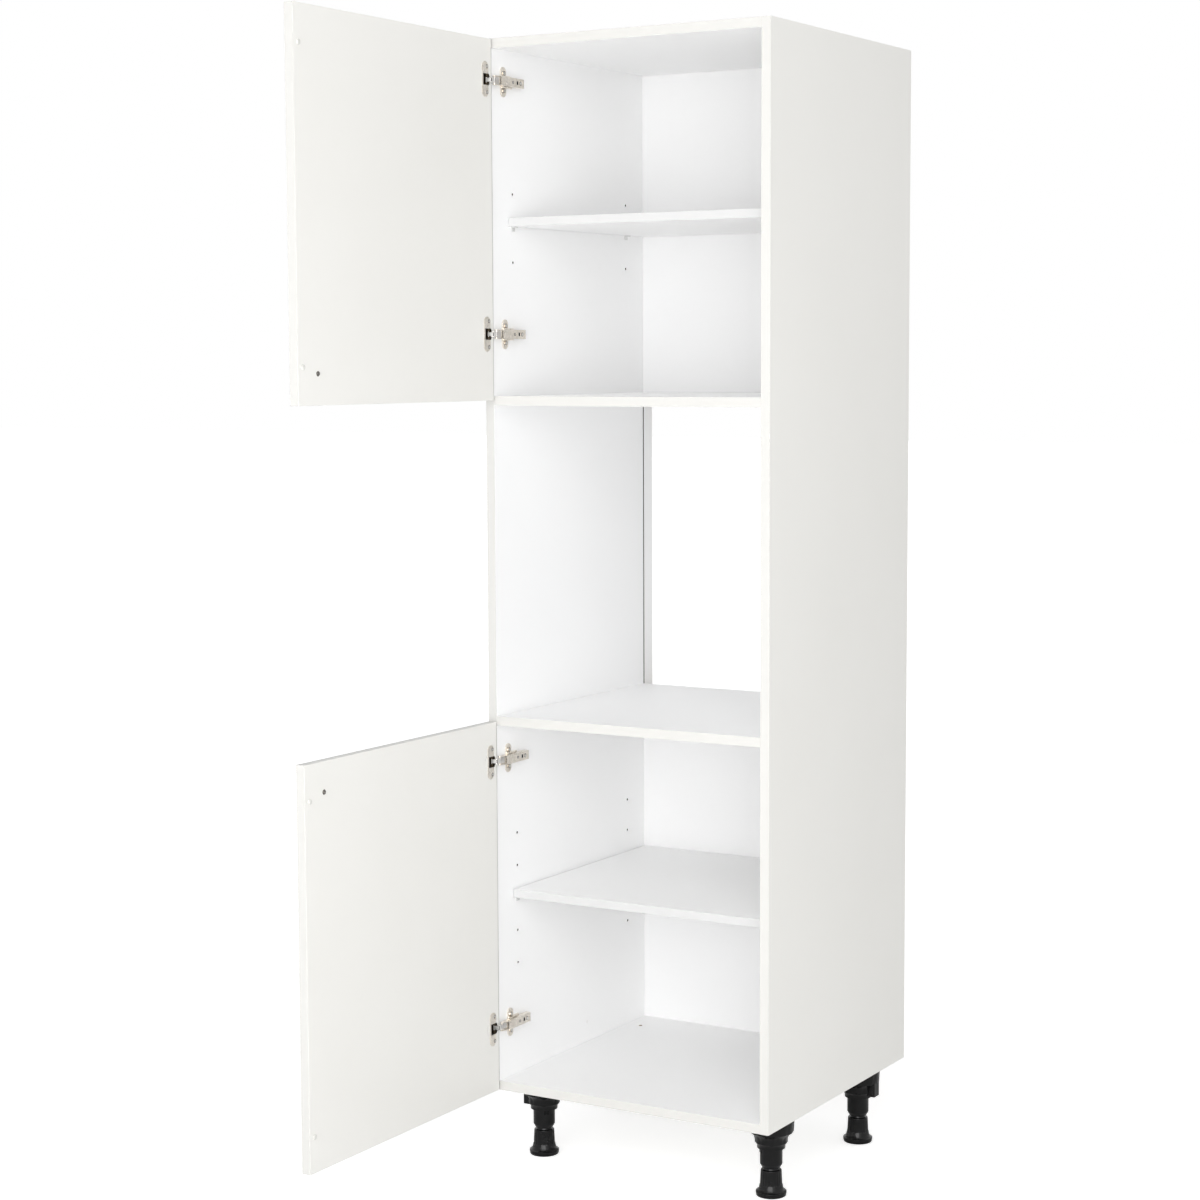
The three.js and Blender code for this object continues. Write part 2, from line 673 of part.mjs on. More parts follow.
// The outer link: two hooked cheeks round the inner link, joined by a web.
function outerLink() {
  const cheeks = [-1, 1].flatMap((side) => {
    const [z0, z1] = [side * LINK_CHEEK_INNER, side * LINK_CHEEK_OUTER].sort((a, b) => a - b);
    return [
      bar(armPivot, linkElbow, LINK_HALF_WIDTH, z0, z1),
      bar(linkElbow, cupPivot, LINK_TONGUE_HALF_WIDTH, z0, z1),
      rodZ(LINK_EYE_RADIUS, armPivot.x, armPivot.y, z0, z1),
      rodZ(LINK_TIP_RADIUS, cupPivot.x, cupPivot.y, z0, z1),
    ];
  });
  const webFace = armPivot.x + LINK_HALF_WIDTH;
  const web = box(
    webFace - LINK_WEB,
    webFace,
    linkElbow.y,
    armPivot.y - LINK_WEB_FROM_ARM_PIN,
    -LINK_CHEEK_OUTER,
    LINK_CHEEK_OUTER,
  );
  return cut(joined(web, ...cheeks), linkBore(LINK_CHEEK_OUTER));
}

function innerLink() {
  const z = INNER_LINK_HALF_HEIGHT;
  const inward = new THREE.Vector2(-INNER_LINK_OFFSET, 0);
  const elbow = linkElbow.clone().add(inward);
  const pieces = [
    bar(armPivot.clone().add(inward), elbow, INNER_LINK_HALF_WIDTH, -z, z),
    bar(elbow, cupPivot, INNER_LINK_TONGUE_HALF_WIDTH, -z, z),
    rodZ(INNER_LINK_EYE_RADIUS, armPivot.x, armPivot.y, -z, z),
    rodZ(INNER_LINK_TIP_RADIUS, cupPivot.x, cupPivot.y, -z, z),
  ];
  return cut(joined(...pieces), linkBore(z));
}

// The cup that fills the door's bore, with its screw wings and two lugs beside the links.
function hingeCup() {
  const floor = openFace - CUP_DEPTH;
  const top = openFace + CUP_FLANGE;
  const face = openFace + CUP_RIM;
  const body = rodX(CUP_RADIUS, floor, face, cupY, 0, ROUND_SIDES);
  const rim = rodX(CUP_RIM_RADIUS, openFace, face, cupY, 0, ROUND_SIDES);
  const wingReach = CUP_WING_HALF_HEIGHT - CUP_WING_HALF_WIDTH;
  const wings = box(
    openFace,
    top,
    cupY - CUP_WING_HALF_WIDTH,
    cupY + CUP_WING_HALF_WIDTH,
    -wingReach,
    wingReach,
  );
  const wingEnds = [-1, 1].map((end) =>
    rodX(CUP_WING_HALF_WIDTH, openFace, top, cupY, end * wingReach, ROUND_SIDES),
  );
  const round = rodX(CUP_RADIUS - CUP_WALL, floor + CUP_WALL, top + PAST, cupY, 0, ROUND_SIDES);
  const strip = box(
    floor,
    top + PAST,
    cupY - CUP_POCKET_REACH,
    cupY + CUP_RADIUS,
    -CUP_POCKET_HALF_WIDTH,
    CUP_POCKET_HALF_WIDTH,
  );
  const pocket = round.intersect(strip);
  const { x, y } = cupPivot;
  const lugs = [-1, 1].map((side) => {
    const reach = [side * CUP_LUG_FROM_MIDDLE, side * (CUP_POCKET_HALF_WIDTH + CUP_WALL)];
    const [z0, z1] = reach.sort((a, b) => a - b);
    return rodZ(CUP_LUG_RADIUS, x, y, z0, z1).intersect(body);
  });
  return joined(cut(joined(body, rim, wings, ...wingEnds), pocket), ...lugs);
}

// ---- Doors --------------------------------------------------------------------------------

function doorPanel(z0, z1, hingeHeights, knobHeight) {
  const board = box(openOuterFace, openFace, openFreeEdge, openEdge, z0, z1);
  const bores = hingeHeights.map((z) =>
    rodX(
      CUP_RADIUS + CUP_BORE_CLEARANCE,
      openFace - CUP_DEPTH - CUP_BORE_CLEARANCE,
      openFace + PAST,
      cupY,
      z,
      ROUND_SIDES,
    ),
  );
  const screwHole = rodX(
    KNOB_SCREW_RADIUS + SCREW_CLEARANCE,
    openOuterFace - PAST,
    openFace + PAST,
    openFreeEdge + KNOB_FROM_EDGE,
    knobHeight,
  );
  return cut(board, ...bores, screwHole);
}

function bumper(z) {
  const y = openFreeEdge + BUMPER_FROM_EDGE;
  return rodX(BUMPER_RADIUS, openFace, openFace + BUMPER_THICKNESS, y, z);
}

function knob(z) {
  const foot = -openOuterFace;
  const outline = [
    [0, foot],
    [KNOB_NECK_RADIUS + 1, foot],
    [KNOB_NECK_RADIUS, foot + KNOB_PROJECTION / 4],
    [KNOB_NECK_RADIUS, foot + KNOB_PROJECTION / 2],
    [KNOB_RADIUS, foot + (KNOB_PROJECTION * 2) / 3],
    [KNOB_RADIUS, foot + (KNOB_PROJECTION * 5) / 6],
    [KNOB_RADIUS / 2, foot + KNOB_PROJECTION],
    [0, foot + KNOB_PROJECTION],
  ].map(([radius, height]) => new THREE.Vector2(radius, height));
  const y = openFreeEdge + KNOB_FROM_EDGE;
  const shape = new THREE.LatheGeometry(outline, ROUND_SIDES).rotateZ(Math.PI / 2);
  const bore = rodX(
    KNOB_SCREW_RADIUS + SCREW_CLEARANCE,
    openOuterFace - KNOB_BORE_DEPTH,
    openOuterFace + PAST,
    y,
    z,
  );
  return cut(solid(shape.translate(0, y, z)), bore);
}

function knobScrew(z) {
  const y = openFreeEdge + KNOB_FROM_EDGE;
  const head = rodX(KNOB_SCREW_HEAD_RADIUS, openFace, openFace + KNOB_SCREW_HEAD, y, z);
  const tip = openFace - KNOB_SCREW_LENGTH;
  const shank = rodX(KNOB_SCREW_RADIUS, tip, openFace + KNOB_SCREW_HEAD / 2, y, z);
  return joined(head, shank);
}

// One door with its two hinges, its bumpers and its knob.
function hungDoor(level, z0, z1, knobHeight) {
  const hinges = { top: z1 - HINGE_FROM_DOOR_TOP, bottom: z0 + HINGE_FROM_DOOR_BOTTOM };
  place(`${level}_door`, doorPanel(z0, z1, Object.values(hinges), knobHeight), doorWhite);
  place(`${level}_door_bumper_top`, bumper(z1 - BUMPER_FROM_END), clearPlastic);
  place(`${level}_door_bumper_bottom`, bumper(z0 + BUMPER_FROM_END), clearPlastic);
  place(`${level}_door_knob`, knob(knobHeight), nickel);
  place(`${level}_door_knob_screw`, knobScrew(knobHeight), steel);
  for (const [end, z] of Object.entries(hinges)) {
    const hinge = new THREE.Group();
    hinge.position.z = z;
    unit.add(hinge);
    place(`${level}_hinge_${end}_plate`, mountingPlate(), nickel, hinge);
    place(`${level}_hinge_${end}_arm`, hingeArm(), nickel, hinge);
    place(`${level}_hinge_${end}_screw`, fixingScrew(), steel, hinge);
    place(`${level}_hinge_${end}_outer_link`, outerLink(), nickel, hinge);
    place(`${level}_hinge_${end}_inner_link`, innerLink(), steel, hinge);
    place(`${level}_hinge_${end}_cup`, hingeCup(), nickel, hinge);
  }
}

const lowerDoorBottom = carcassBottom + DOOR_END_REVEAL;
const lowerDoorTop = nicheFloorUnderside + DOOR_OVERLAY_ON_NICHE;
const upperDoorBottom = upperFloor - DOOR_OVERLAY_ON_NICHE;
const upperDoorTop = carcassTop - DOOR_END_REVEAL;

hungDoor("lower", lowerDoorBottom, lowerDoorTop, lowerDoorTop - KNOB_FROM_END);
hungDoor("upper", upperDoorBottom, upperDoorTop, upperDoorBottom + KNOB_FROM_END);

export default unit;
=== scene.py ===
# %% [markdown]
# # A tall oven housing unit
#
# This lesson dresses a imported CAD model of a white kitchen unit. The CAD model gives every
# board, hinge and leg its exact place and size. Here each of them gets the rounded edges,
# the small fittings and the surface of the real thing. The frame is loaded first, because
# every piece made below is fitted to it.

# %% Load the frame
import json
import math

import bmesh
import bpy
from mathutils import Matrix, Vector

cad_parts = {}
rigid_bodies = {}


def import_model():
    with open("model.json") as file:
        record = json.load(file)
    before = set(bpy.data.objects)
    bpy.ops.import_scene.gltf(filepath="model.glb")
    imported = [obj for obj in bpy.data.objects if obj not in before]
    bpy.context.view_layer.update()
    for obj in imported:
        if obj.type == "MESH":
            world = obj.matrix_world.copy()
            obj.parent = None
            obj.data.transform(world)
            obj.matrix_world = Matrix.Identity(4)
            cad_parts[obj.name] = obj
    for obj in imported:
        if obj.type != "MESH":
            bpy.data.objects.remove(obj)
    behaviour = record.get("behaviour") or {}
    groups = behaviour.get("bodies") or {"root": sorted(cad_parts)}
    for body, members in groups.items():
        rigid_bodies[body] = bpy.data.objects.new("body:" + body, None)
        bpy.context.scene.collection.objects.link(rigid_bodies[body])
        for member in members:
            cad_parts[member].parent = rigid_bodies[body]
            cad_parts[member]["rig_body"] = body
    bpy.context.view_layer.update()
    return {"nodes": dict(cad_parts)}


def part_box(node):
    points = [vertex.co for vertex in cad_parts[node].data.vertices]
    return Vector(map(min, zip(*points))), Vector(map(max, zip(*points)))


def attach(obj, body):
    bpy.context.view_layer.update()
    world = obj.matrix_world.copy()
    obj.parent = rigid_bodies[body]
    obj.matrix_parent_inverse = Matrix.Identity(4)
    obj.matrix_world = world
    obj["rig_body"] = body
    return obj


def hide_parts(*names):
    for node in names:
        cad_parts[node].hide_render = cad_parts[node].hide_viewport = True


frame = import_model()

MM = 0.001
nodes = frame["nodes"]

# %% [markdown]
# ## The camera
#
# The photograph was taken from the front right, a little under the height of the upper
# shelf, looking slightly down. A long lens keeps the uprights nearly parallel. The camera's
# turn is built from three angles, so each of them can be read and changed on its own.

# %% Place the camera
CAMERA_PLACE = Vector((2.33872, -3.99561, 1.55546))
CAMERA_YAW = math.radians(30.887)
CAMERA_PITCH = math.radians(-5.443)
CAMERA_ROLL = math.radians(-0.24)
CAMERA_LENS = 75.806
SENSOR_WIDTH = 36
VIEW_END = 100

forward = Vector(
    (
        -math.sin(CAMERA_YAW) * math.cos(CAMERA_PITCH),
        math.cos(CAMERA_YAW) * math.cos(CAMERA_PITCH),
        math.sin(CAMERA_PITCH),
    )
)
level = Vector((math.cos(CAMERA_YAW), math.sin(CAMERA_YAW), 0))
upright = level.cross(forward)
side = level * math.cos(CAMERA_ROLL) + upright * math.sin(CAMERA_ROLL)
up = upright * math.cos(CAMERA_ROLL) - level * math.sin(CAMERA_ROLL)

camera = bpy.data.objects.new("camera", bpy.data.cameras.new("camera"))
camera.data.lens = CAMERA_LENS
camera.data.sensor_width = SENSOR_WIDTH
camera.data.clip_end = VIEW_END
turn = Matrix((side, up, -forward)).transposed()
camera.matrix_world = Matrix.Translation(CAMERA_PLACE) @ turn.to_4x4()
bpy.context.scene.collection.objects.link(camera)
bpy.context.scene.camera = camera
print("camera looks along", tuple(round(c, 3) for c in forward))

# %% [markdown]
# ## Light and floor
#
# The unit stands in an even white studio. The world gives soft light from everywhere, and
# four wide lamps give the faces their slightly different tones. The background is white
# because camera rays, and the rays that glossy or clear surfaces send out, see a world of
# strength one. The floor is a pale matt sheet that keeps the unit's shadow; what camera
# rays see of it is lifted towards white, more so far away from the unit.

# %% Light the studio
WORLD_LEVEL = 0.55
WORLD_COLOUR = (0.99, 0.995, 1, 1)
view = bpy.context.scene.view_settings
view.view_transform = "Standard"

world = bpy.data.worlds.new("studio")
bpy.context.scene.world = world
world.use_nodes = True
tree = world.node_tree
tree.nodes.clear()
rays = tree.nodes.new("ShaderNodeLightPath")
seen = tree.nodes.new("ShaderNodeMath")
seen.operation = "MAXIMUM"
seen_through = tree.nodes.new("ShaderNodeMath")
seen_through.operation = "MAXIMUM"
soft = tree.nodes.new("ShaderNodeBackground")
soft.inputs["Color"].default_value = WORLD_COLOUR
soft.inputs["Strength"].default_value = WORLD_LEVEL
white = tree.nodes.new("ShaderNodeBackground")
white.inputs["Color"].default_value = (1, 1, 1, 1)
white.inputs["Strength"].default_value = 1
choice = tree.nodes.new("ShaderNodeMixShader")
sky = tree.nodes.new("ShaderNodeOutputWorld")
tree.links.new(rays.outputs["Is Camera Ray"], seen.inputs[0])
tree.links.new(rays.outputs["Is Glossy Ray"], seen.inputs[1])
tree.links.new(seen.outputs[0], seen_through.inputs[0])
tree.links.new(rays.outputs["Is Transmission Ray"], seen_through.inputs[1])
tree.links.new(seen_through.outputs[0], choice.inputs["Fac"])
tree.links.new(soft.outputs[0], choice.inputs[1])
tree.links.new(white.outputs[0], choice.inputs[2])
tree.links.new(choice.outputs[0], sky.inputs["Surface"])


def lamp(name, place, target, width, height, power):
    """A wide soft lamp at a place, turned towards a target."""
    data = bpy.data.lights.new(name, "AREA")
    data.shape = "RECTANGLE"
    data.size, data.size_y, data.energy = width, height, power
    made = bpy.data.objects.new(name, data)
    made.location = place
    made.rotation_euler = (Vector(target) - Vector(place)).to_track_quat("-Z", "Y").to_euler()
    bpy.context.scene.collection.objects.link(made)


# Each row holds a name, a place, a target, a width and a height in metres, and a power in watts.
LAMPS = (
    ("front_lamp", (1.7, -4.0, 1.8), (0, 0.2, 1.0), 3.4, 3.6, 86),
    ("right_lamp", (3.3, -3.1, 1.5), (0, 0.2, 1.0), 3.0, 3.0, 21),
    ("high_lamp", (1.0, -3.0, 3.6), (0, 0.3, 1.0), 3.0, 2.0, 22),
    ("low_lamp", (1.2, -3.4, 0.9), (0, 0.3, 1.2), 3.0, 1.4, 38),
)
for row in LAMPS:
    lamp(*row)
print("world level", WORLD_LEVEL)

# %% Lay the floor
FLOOR_COLOUR = (0.86, 0.86, 0.86, 1)
FLOOR_LIFT = 0.55
LIFT_FAR = 0.75
LIFT_FROM, LIFT_TO = 1.2, 3.0

floor_mesh = bpy.data.meshes.new("floor")
FLOOR_HALF = 40
signs = [(-1, -1), (1, -1), (1, 1), (-1, 1)]
corners = [(x * FLOOR_HALF, y * FLOOR_HALF, 0) for x, y in signs]
floor_mesh.from_pydata(corners, [], [(0, 1, 2, 3)])
floor = bpy.data.objects.new("floor", floor_mesh)
bpy.context.scene.collection.objects.link(floor)

sheet = bpy.data.materials.new("studio_floor")
sheet.use_nodes = True
tree = sheet.node_tree
tree.nodes.clear()
matt = tree.nodes.new("ShaderNodeBsdfDiffuse")
matt.inputs["Color"].default_value = FLOOR_COLOUR
rays = tree.nodes.new("ShaderNodeLightPath")
place = tree.nodes.new("ShaderNodeTexCoord")
reach = tree.nodes.new("ShaderNodeVectorMath")
reach.operation = "LENGTH"
spread = tree.nodes.new("ShaderNodeMapRange")
limits = {
    "From Min": LIFT_FROM, "From Max": LIFT_TO, "To Min": FLOOR_LIFT, "To Max": LIFT_FAR
}
for socket, value in limits.items():
    spread.inputs[socket].default_value = value
lift = tree.nodes.new("ShaderNodeMath")
lift.operation = "MULTIPLY"
glow = tree.nodes.new("ShaderNodeEmission")
both = tree.nodes.new("ShaderNodeAddShader")
end = tree.nodes.new("ShaderNodeOutputMaterial")
tree.links.new(place.outputs["Object"], reach.inputs[0])
tree.links.new(reach.outputs["Value"], spread.inputs["Value"])
tree.links.new(rays.outputs["Is Camera Ray"], lift.inputs[0])
tree.links.new(spread.outputs["Result"], lift.inputs[1])
tree.links.new(lift.outputs[0], glow.inputs["Strength"])
tree.links.new(matt.outputs[0], both.inputs[0])
tree.links.new(glow.outputs[0], both.inputs[1])
tree.links.new(both.outputs[0], end.inputs["Surface"])
floor_mesh.materials.append(sheet)
print("floor is", 2 * FLOOR_HALF, "m wide")

# %% [markdown]
# ## Shared surface effects
#
# Some effects belong to more than one finish. A pressed laminate, a moulded plastic and a
# lacquer all have a fine pebble; most surfaces change a little in tone and gloss from place
# to place; handled corners wear, and the same lighter colour on convex corners is a painted
# highlight. Each effect is a node group with named sockets, built once and given its own
# values in each material. They read the object's own coordinates, so they stay put when a
# door swings.


# %% Node group helpers
def group(name, inputs, outputs):
    """An empty shader node group. Inputs are (name, kind, value), outputs (name, kind)."""
    made = bpy.data.node_groups.new(name, "ShaderNodeTree")
    for socket, kind, value in inputs:
        made.interface.new_socket(socket, in_out="INPUT", socket_type=kind).default_value = value
    for socket, kind in outputs:
        made.interface.new_socket(socket, in_out="OUTPUT", socket_type=kind)
    return made, made.nodes.new("NodeGroupInput"), made.nodes.new("NodeGroupOutput")


def wire(tree, *pairs):
    for start, finish in pairs:
        tree.links.new(start, finish)


def add(tree, kind, **settings):
    """A node of that kind, with its settings and its plain input values."""
    made = tree.nodes.new(kind)
    for key, value in settings.items():
        if isinstance(value, dict):
            for socket, number in value.items():
                made.inputs[socket].default_value = number
        else:
            setattr(made, key, value)
    return made


FLOAT, COLOUR = "NodeSocketFloat", "NodeSocketColor"
# A colour mix node has its factor, its two colours and its result at these sockets.
MIX_FACTOR, MIX_A, MIX_B, MIX_RESULT = 0, 6, 7, 2

# %% Fine pebble of a pressed or moulded surface
pebble, source, result = group(
    "pebble", [("Size", FLOAT, 900), ("Softness", FLOAT, 0.5)], [("Height", FLOAT)]
)
place = add(pebble, "ShaderNodeTexCoord")
grain = add(pebble, "ShaderNodeTexNoise", inputs={"Detail": 3})
cells = add(pebble, "ShaderNodeTexVoronoi", feature="SMOOTH_F1")
mix = add(pebble, "ShaderNodeMix", data_type="FLOAT")
wire(
    pebble,
    (place.outputs["Object"], grain.inputs["Vector"]),
    (place.outputs["Object"], cells.inputs["Vector"]),
    (source.outputs["Size"], grain.inputs["Scale"]),
    (source.outputs["Size"], cells.inputs["Scale"]),
    (source.outputs["Softness"], mix.inputs["Factor"]),
    (cells.outputs["Distance"], mix.inputs["A"]),
    (grain.outputs["Fac"], mix.inputs["B"]),
    (mix.outputs["Result"], result.inputs["Height"]),
)
print("pebble group:", len(pebble.nodes), "nodes")

# %% Slow drift of tone and gloss
drift, source, result = group(
    "drift",
    [
        ("Colour", COLOUR, (1, 1, 1, 1)),
        ("Deep Colour", COLOUR, (0.9, 0.9, 0.9, 1)),
        ("Roughness", FLOAT, 0.4),
        ("Spread", FLOAT, 0.05),
        ("Size", FLOAT, 3),
    ],
    [("Colour", COLOUR), ("Roughness", FLOAT)],
)
place = add(drift, "ShaderNodeTexCoord")
cloud = add(drift, "ShaderNodeTexNoise", inputs={"Detail": 4, "Roughness": 0.55})
smear = add(drift, "ShaderNodeTexNoise", inputs={"Detail": 2, "Distortion": 0.8})
tone = add(drift, "ShaderNodeMapRange", inputs={"From Min": 0.35, "From Max": 0.75})
blend = add(drift, "ShaderNodeMix", data_type="RGBA")
finer = add(drift, "ShaderNodeMath", operation="MULTIPLY", inputs={1: 2.3})
centre = add(drift, "ShaderNodeMath", operation="SUBTRACT", inputs={1: 0.5})
scaled = add(drift, "ShaderNodeMath", operation="MULTIPLY")
total = add(drift, "ShaderNodeMath", operation="ADD", use_clamp=True)
wire(
    drift,
    (place.outputs["Object"], cloud.inputs["Vector"]),
    (place.outputs["Object"], smear.inputs["Vector"]),
    (source.outputs["Size"], cloud.inputs["Scale"]),
    (source.outputs["Size"], finer.inputs[0]),
    (finer.outputs[0], smear.inputs["Scale"]),
    (cloud.outputs["Fac"], tone.inputs["Value"]),
    (tone.outputs["Result"], blend.inputs[MIX_FACTOR]),
    (source.outputs["Colour"], blend.inputs[MIX_A]),
    (source.outputs["Deep Colour"], blend.inputs[MIX_B]),
    (blend.outputs[MIX_RESULT], result.inputs["Colour"]),
    (smear.outputs["Fac"], centre.inputs[0]),
    (centre.outputs[0], scaled.inputs[0]),
    (source.outputs["Spread"], scaled.inputs[1]),
    (scaled.outputs[0], total.inputs[0]),
    (source.outputs["Roughness"], total.inputs[1]),
    (total.outputs[0], result.inputs["Roughness"]),
)
print("drift group:", len(drift.nodes), "nodes")

# %% Wear and painted highlight on corners
wear_and_highlight, source, result = group(
    "corner_wear_and_highlight",
    [
        ("Colour", COLOUR, (0, 0, 0, 1)),
        ("Worn And Highlight Colour", COLOUR, (1, 1, 1, 1)),
        ("Amount", FLOAT, 0.5),
    ],
    [("Colour", COLOUR)],
)
shape = add(wear_and_highlight, "ShaderNodeNewGeometry")
place = add(wear_and_highlight, "ShaderNodeTexCoord")
# Convex corners, found by pointiness, take the lighter colour: partly wear, partly a painted
# highlight.
corner = add(wear_and_highlight, "ShaderNodeMapRange", inputs={"From Min": 0.52, "From Max": 0.62})
scratch = add(wear_and_highlight, "ShaderNodeTexNoise", inputs={"Scale": 260, "Detail": 5})
broken = add(wear_and_highlight, "ShaderNodeMath", operation="MULTIPLY")
amount = add(wear_and_highlight, "ShaderNodeMath", operation="MULTIPLY")
blend = add(wear_and_highlight, "ShaderNodeMix", data_type="RGBA")
wire(
    wear_and_highlight,
    (shape.outputs["Pointiness"], corner.inputs["Value"]),
    (place.outputs["Object"], scratch.inputs["Vector"]),
    (corner.outputs["Result"], broken.inputs[0]),
    (scratch.outputs["Fac"], broken.inputs[1]),
    (broken.outputs[0], amount.inputs[0]),
    (source.outputs["Amount"], amount.inputs[1]),
    (amount.outputs[0], blend.inputs[MIX_FACTOR]),
    (source.outputs["Colour"], blend.inputs[MIX_A]),
    (source.outputs["Worn And Highlight Colour"], blend.inputs[MIX_B]),
    (blend.outputs[MIX_RESULT], result.inputs["Colour"]),
)
print("corner wear group:", len(wear_and_highlight.nodes), "nodes")

# %% [markdown]
# ## Finishes
#
# The outside of the unit and its doors carry a warm white laminate; the inside is a cooler
# white. Edges wear a thin plastic band, pressed on and buffed, which is a touch glossier; it
# is as white as the faces, and its darker colour below is painted shade for edges that face
# the lamps.
# Where no band is glued on, the chipboard shows. The function below builds the satin
# surfaces that share one recipe: a base colour that drifts a little, a gloss that breaks
# up, and a pebble as fine bump. What differs is only the numbers.


# %% A satin surface
WORN_AND_LIT_AMOUNT = 0.5


def surface(name, colour, deep, rough, spread=0.06, size=3.0, pebble_size=900, depth=0.02,
            softness=0.5, worn_and_lit=None, **plain):
    """A material with drift, pebble and perhaps corner wear with painted highlight. Plain values
    go on the shader.
    """
    made = bpy.data.materials.new(name)
    made.use_nodes = True
    tree = made.node_tree
    shader = tree.nodes["Principled BSDF"]
    for socket, value in plain.items():
        shader.inputs[socket.replace("_", " ")].default_value = value
    slow = add(tree, "ShaderNodeGroup", node_tree=drift)
    slow.inputs["Colour"].default_value = (*colour, 1)
    slow.inputs["Deep Colour"].default_value = (*deep, 1)
    slow.inputs["Roughness"].default_value = rough
    slow.inputs["Spread"].default_value = spread
    slow.inputs["Size"].default_value = size
    fine = add(tree, "ShaderNodeGroup", node_tree=pebble)
    fine.inputs["Size"].default_value = pebble_size
    fine.inputs["Softness"].default_value = softness
    bump = add(tree, "ShaderNodeBump")
    bump.inputs["Strength"].default_value = depth
    bump.inputs["Distance"].default_value = MM
    last = slow.outputs["Colour"]
    if worn_and_lit:
        rubbed_and_lit = add(tree, "ShaderNodeGroup", node_tree=wear_and_highlight)
        rubbed_and_lit.inputs["Worn And Highlight Colour"].default_value = (*worn_and_lit, 1)
        rubbed_and_lit.inputs["Amount"].default_value = WORN_AND_LIT_AMOUNT
        tree.links.new(last, rubbed_and_lit.inputs["Colour"])
        last = rubbed_and_lit.outputs["Colour"]
    wire(
        tree,
        (last, shader.inputs["Base Color"]),
        (slow.outputs["Roughness"], shader.inputs["Roughness"]),
        (fine.outputs["Height"], bump.inputs["Height"]),
        (bump.outputs["Normal"], shader.inputs["Normal"]),
    )
    return made


# %% White boards and bands
BOARD_PEBBLE = {"depth": 0.10, "pebble_size": 700}
BAND_PEBBLE = {"size": 14, "depth": 0.05, "pebble_size": 1400}
outer_laminate = surface(
    "outer_laminate", (0.915, 0.905, 0.868), (0.9, 0.89, 0.852), 0.42, **BOARD_PEBBLE
)
# The doors' inner faces: the warm laminate made darker, as painted shade, because the doors stand
# out into more light.
door_laminate = surface(
    "door_laminate", (0.846, 0.837, 0.803), (0.83, 0.82, 0.785), 0.4, **BOARD_PEBBLE
)
# The doors' outer faces: the same laminate darker still, as painted shade that keeps a closed
# door from burning out white in the lamps.
door_front = surface(
    "door_front", (0.7, 0.693, 0.665), (0.69, 0.683, 0.655), 0.4, **BOARD_PEBBLE
)
inner_laminate = surface(
    "inner_laminate", (0.977, 0.977, 0.977), (0.97, 0.97, 0.971), 0.45, **BOARD_PEBBLE
)
# The shelves: the inner white a touch lighter, as painted light for upper and under faces that
# get less light.
shelf_laminate_painted_light = surface(
    "shelf_laminate_painted_light", (0.985, 0.985, 0.985), (0.98, 0.98, 0.98), 0.45, **BOARD_PEBBLE
)
# The band is as white as the boards; its darker colour here is painted shade for front edges that
# face the lamps.
edge_band_painted_shade = surface(
    "edge_band_painted_shade", (0.67, 0.663, 0.639), (0.66, 0.653, 0.629), 0.4, **BAND_PEBBLE
)
# The shelves' band, much darker than the shelves: painted shade for front edges that face the
# lamps.
shelf_band_painted_shade = surface(
    "shelf_band_painted_shade", (0.635, 0.635, 0.635), (0.625, 0.625, 0.625), 0.4, **BAND_PEBBLE
)
back_lacquer = surface(
    "back_lacquer", (0.905, 0.905, 0.906), (0.895, 0.895, 0.897), 0.5, spread=0.1, depth=0.06,
    pebble_size=420, softness=0.9,
)
print("laminates:", [m.name for m in bpy.data.materials if "laminate" in m.name])


# %% [markdown]
# Chipboard is pressed from flakes, coarse in the middle and fine near the faces. Its cut
# edge shows at the back of the unit and inside the drilled holes. Stretched cells in two
# sizes give the flakes; each cell gets its own tone of brown. Hardboard, which the thin
# back panels are made of, is finer and more even.


# %% Raw chipboard and hardboard
def flakes(name, light, dark, size, depth):
    made = bpy.data.materials.new(name)
    made.use_nodes = True
    tree = made.node_tree
    shader = tree.nodes["Principled BSDF"]
    place = add(tree, "ShaderNodeTexCoord")
    chips = add(tree, "ShaderNodeTexVoronoi", inputs={"Scale": size, "Randomness": 1})
    dust = add(tree, "ShaderNodeTexNoise", inputs={"Scale": size * 1.7, "Detail": 4})
    ramp = add(tree, "ShaderNodeValToRGB")
    ramp.color_ramp.elements[0].color = (*dark, 1)
    ramp.color_ramp.elements[1].color = (*light, 1)
    bump = add(tree, "ShaderNodeBump", inputs={"Strength": depth, "Distance": MM})
    shader.inputs["Roughness"].default_value = 0.85
    split = add(tree, "ShaderNodeSeparateColor")
    both = add(tree, "ShaderNodeMath", operation="MULTIPLY")
    twice = add(tree, "ShaderNodeMath", operation="MULTIPLY", inputs={1: 2})
    wire(
        tree,
        (place.outputs["Object"], chips.inputs["Vector"]),
        (place.outputs["Object"], dust.inputs["Vector"]),
        (chips.outputs["Color"], split.inputs["Color"]),
        (split.outputs["Red"], both.inputs[0]),
        (dust.outputs["Fac"], both.inputs[1]),
        (both.outputs[0], twice.inputs[0]),
        (twice.outputs[0], ramp.inputs["Fac"]),
        (ramp.outputs["Color"], shader.inputs["Base Color"]),
        (dust.outputs["Fac"], bump.inputs["Height"]),
        (bump.outputs["Normal"], shader.inputs["Normal"]),
    )
    return made


raw_board = flakes("raw_chipboard", (0.56, 0.43, 0.29), (0.27, 0.19, 0.11), 420, 0.5)
raw_back = flakes("raw_hardboard", (0.4, 0.27, 0.16), (0.3, 0.2, 0.12), 1300, 0.2)
# The walls of the sides' groove and holes: the flakes nearly black, as painted shade of the
# recesses.
groove_painted_shade = flakes("groove_walls_painted_shade", (0.15, 0.13, 0.11), (0.07, 0.06, 0.05), 900, 0.3)
print("raw boards:", raw_board.name, raw_back.name)

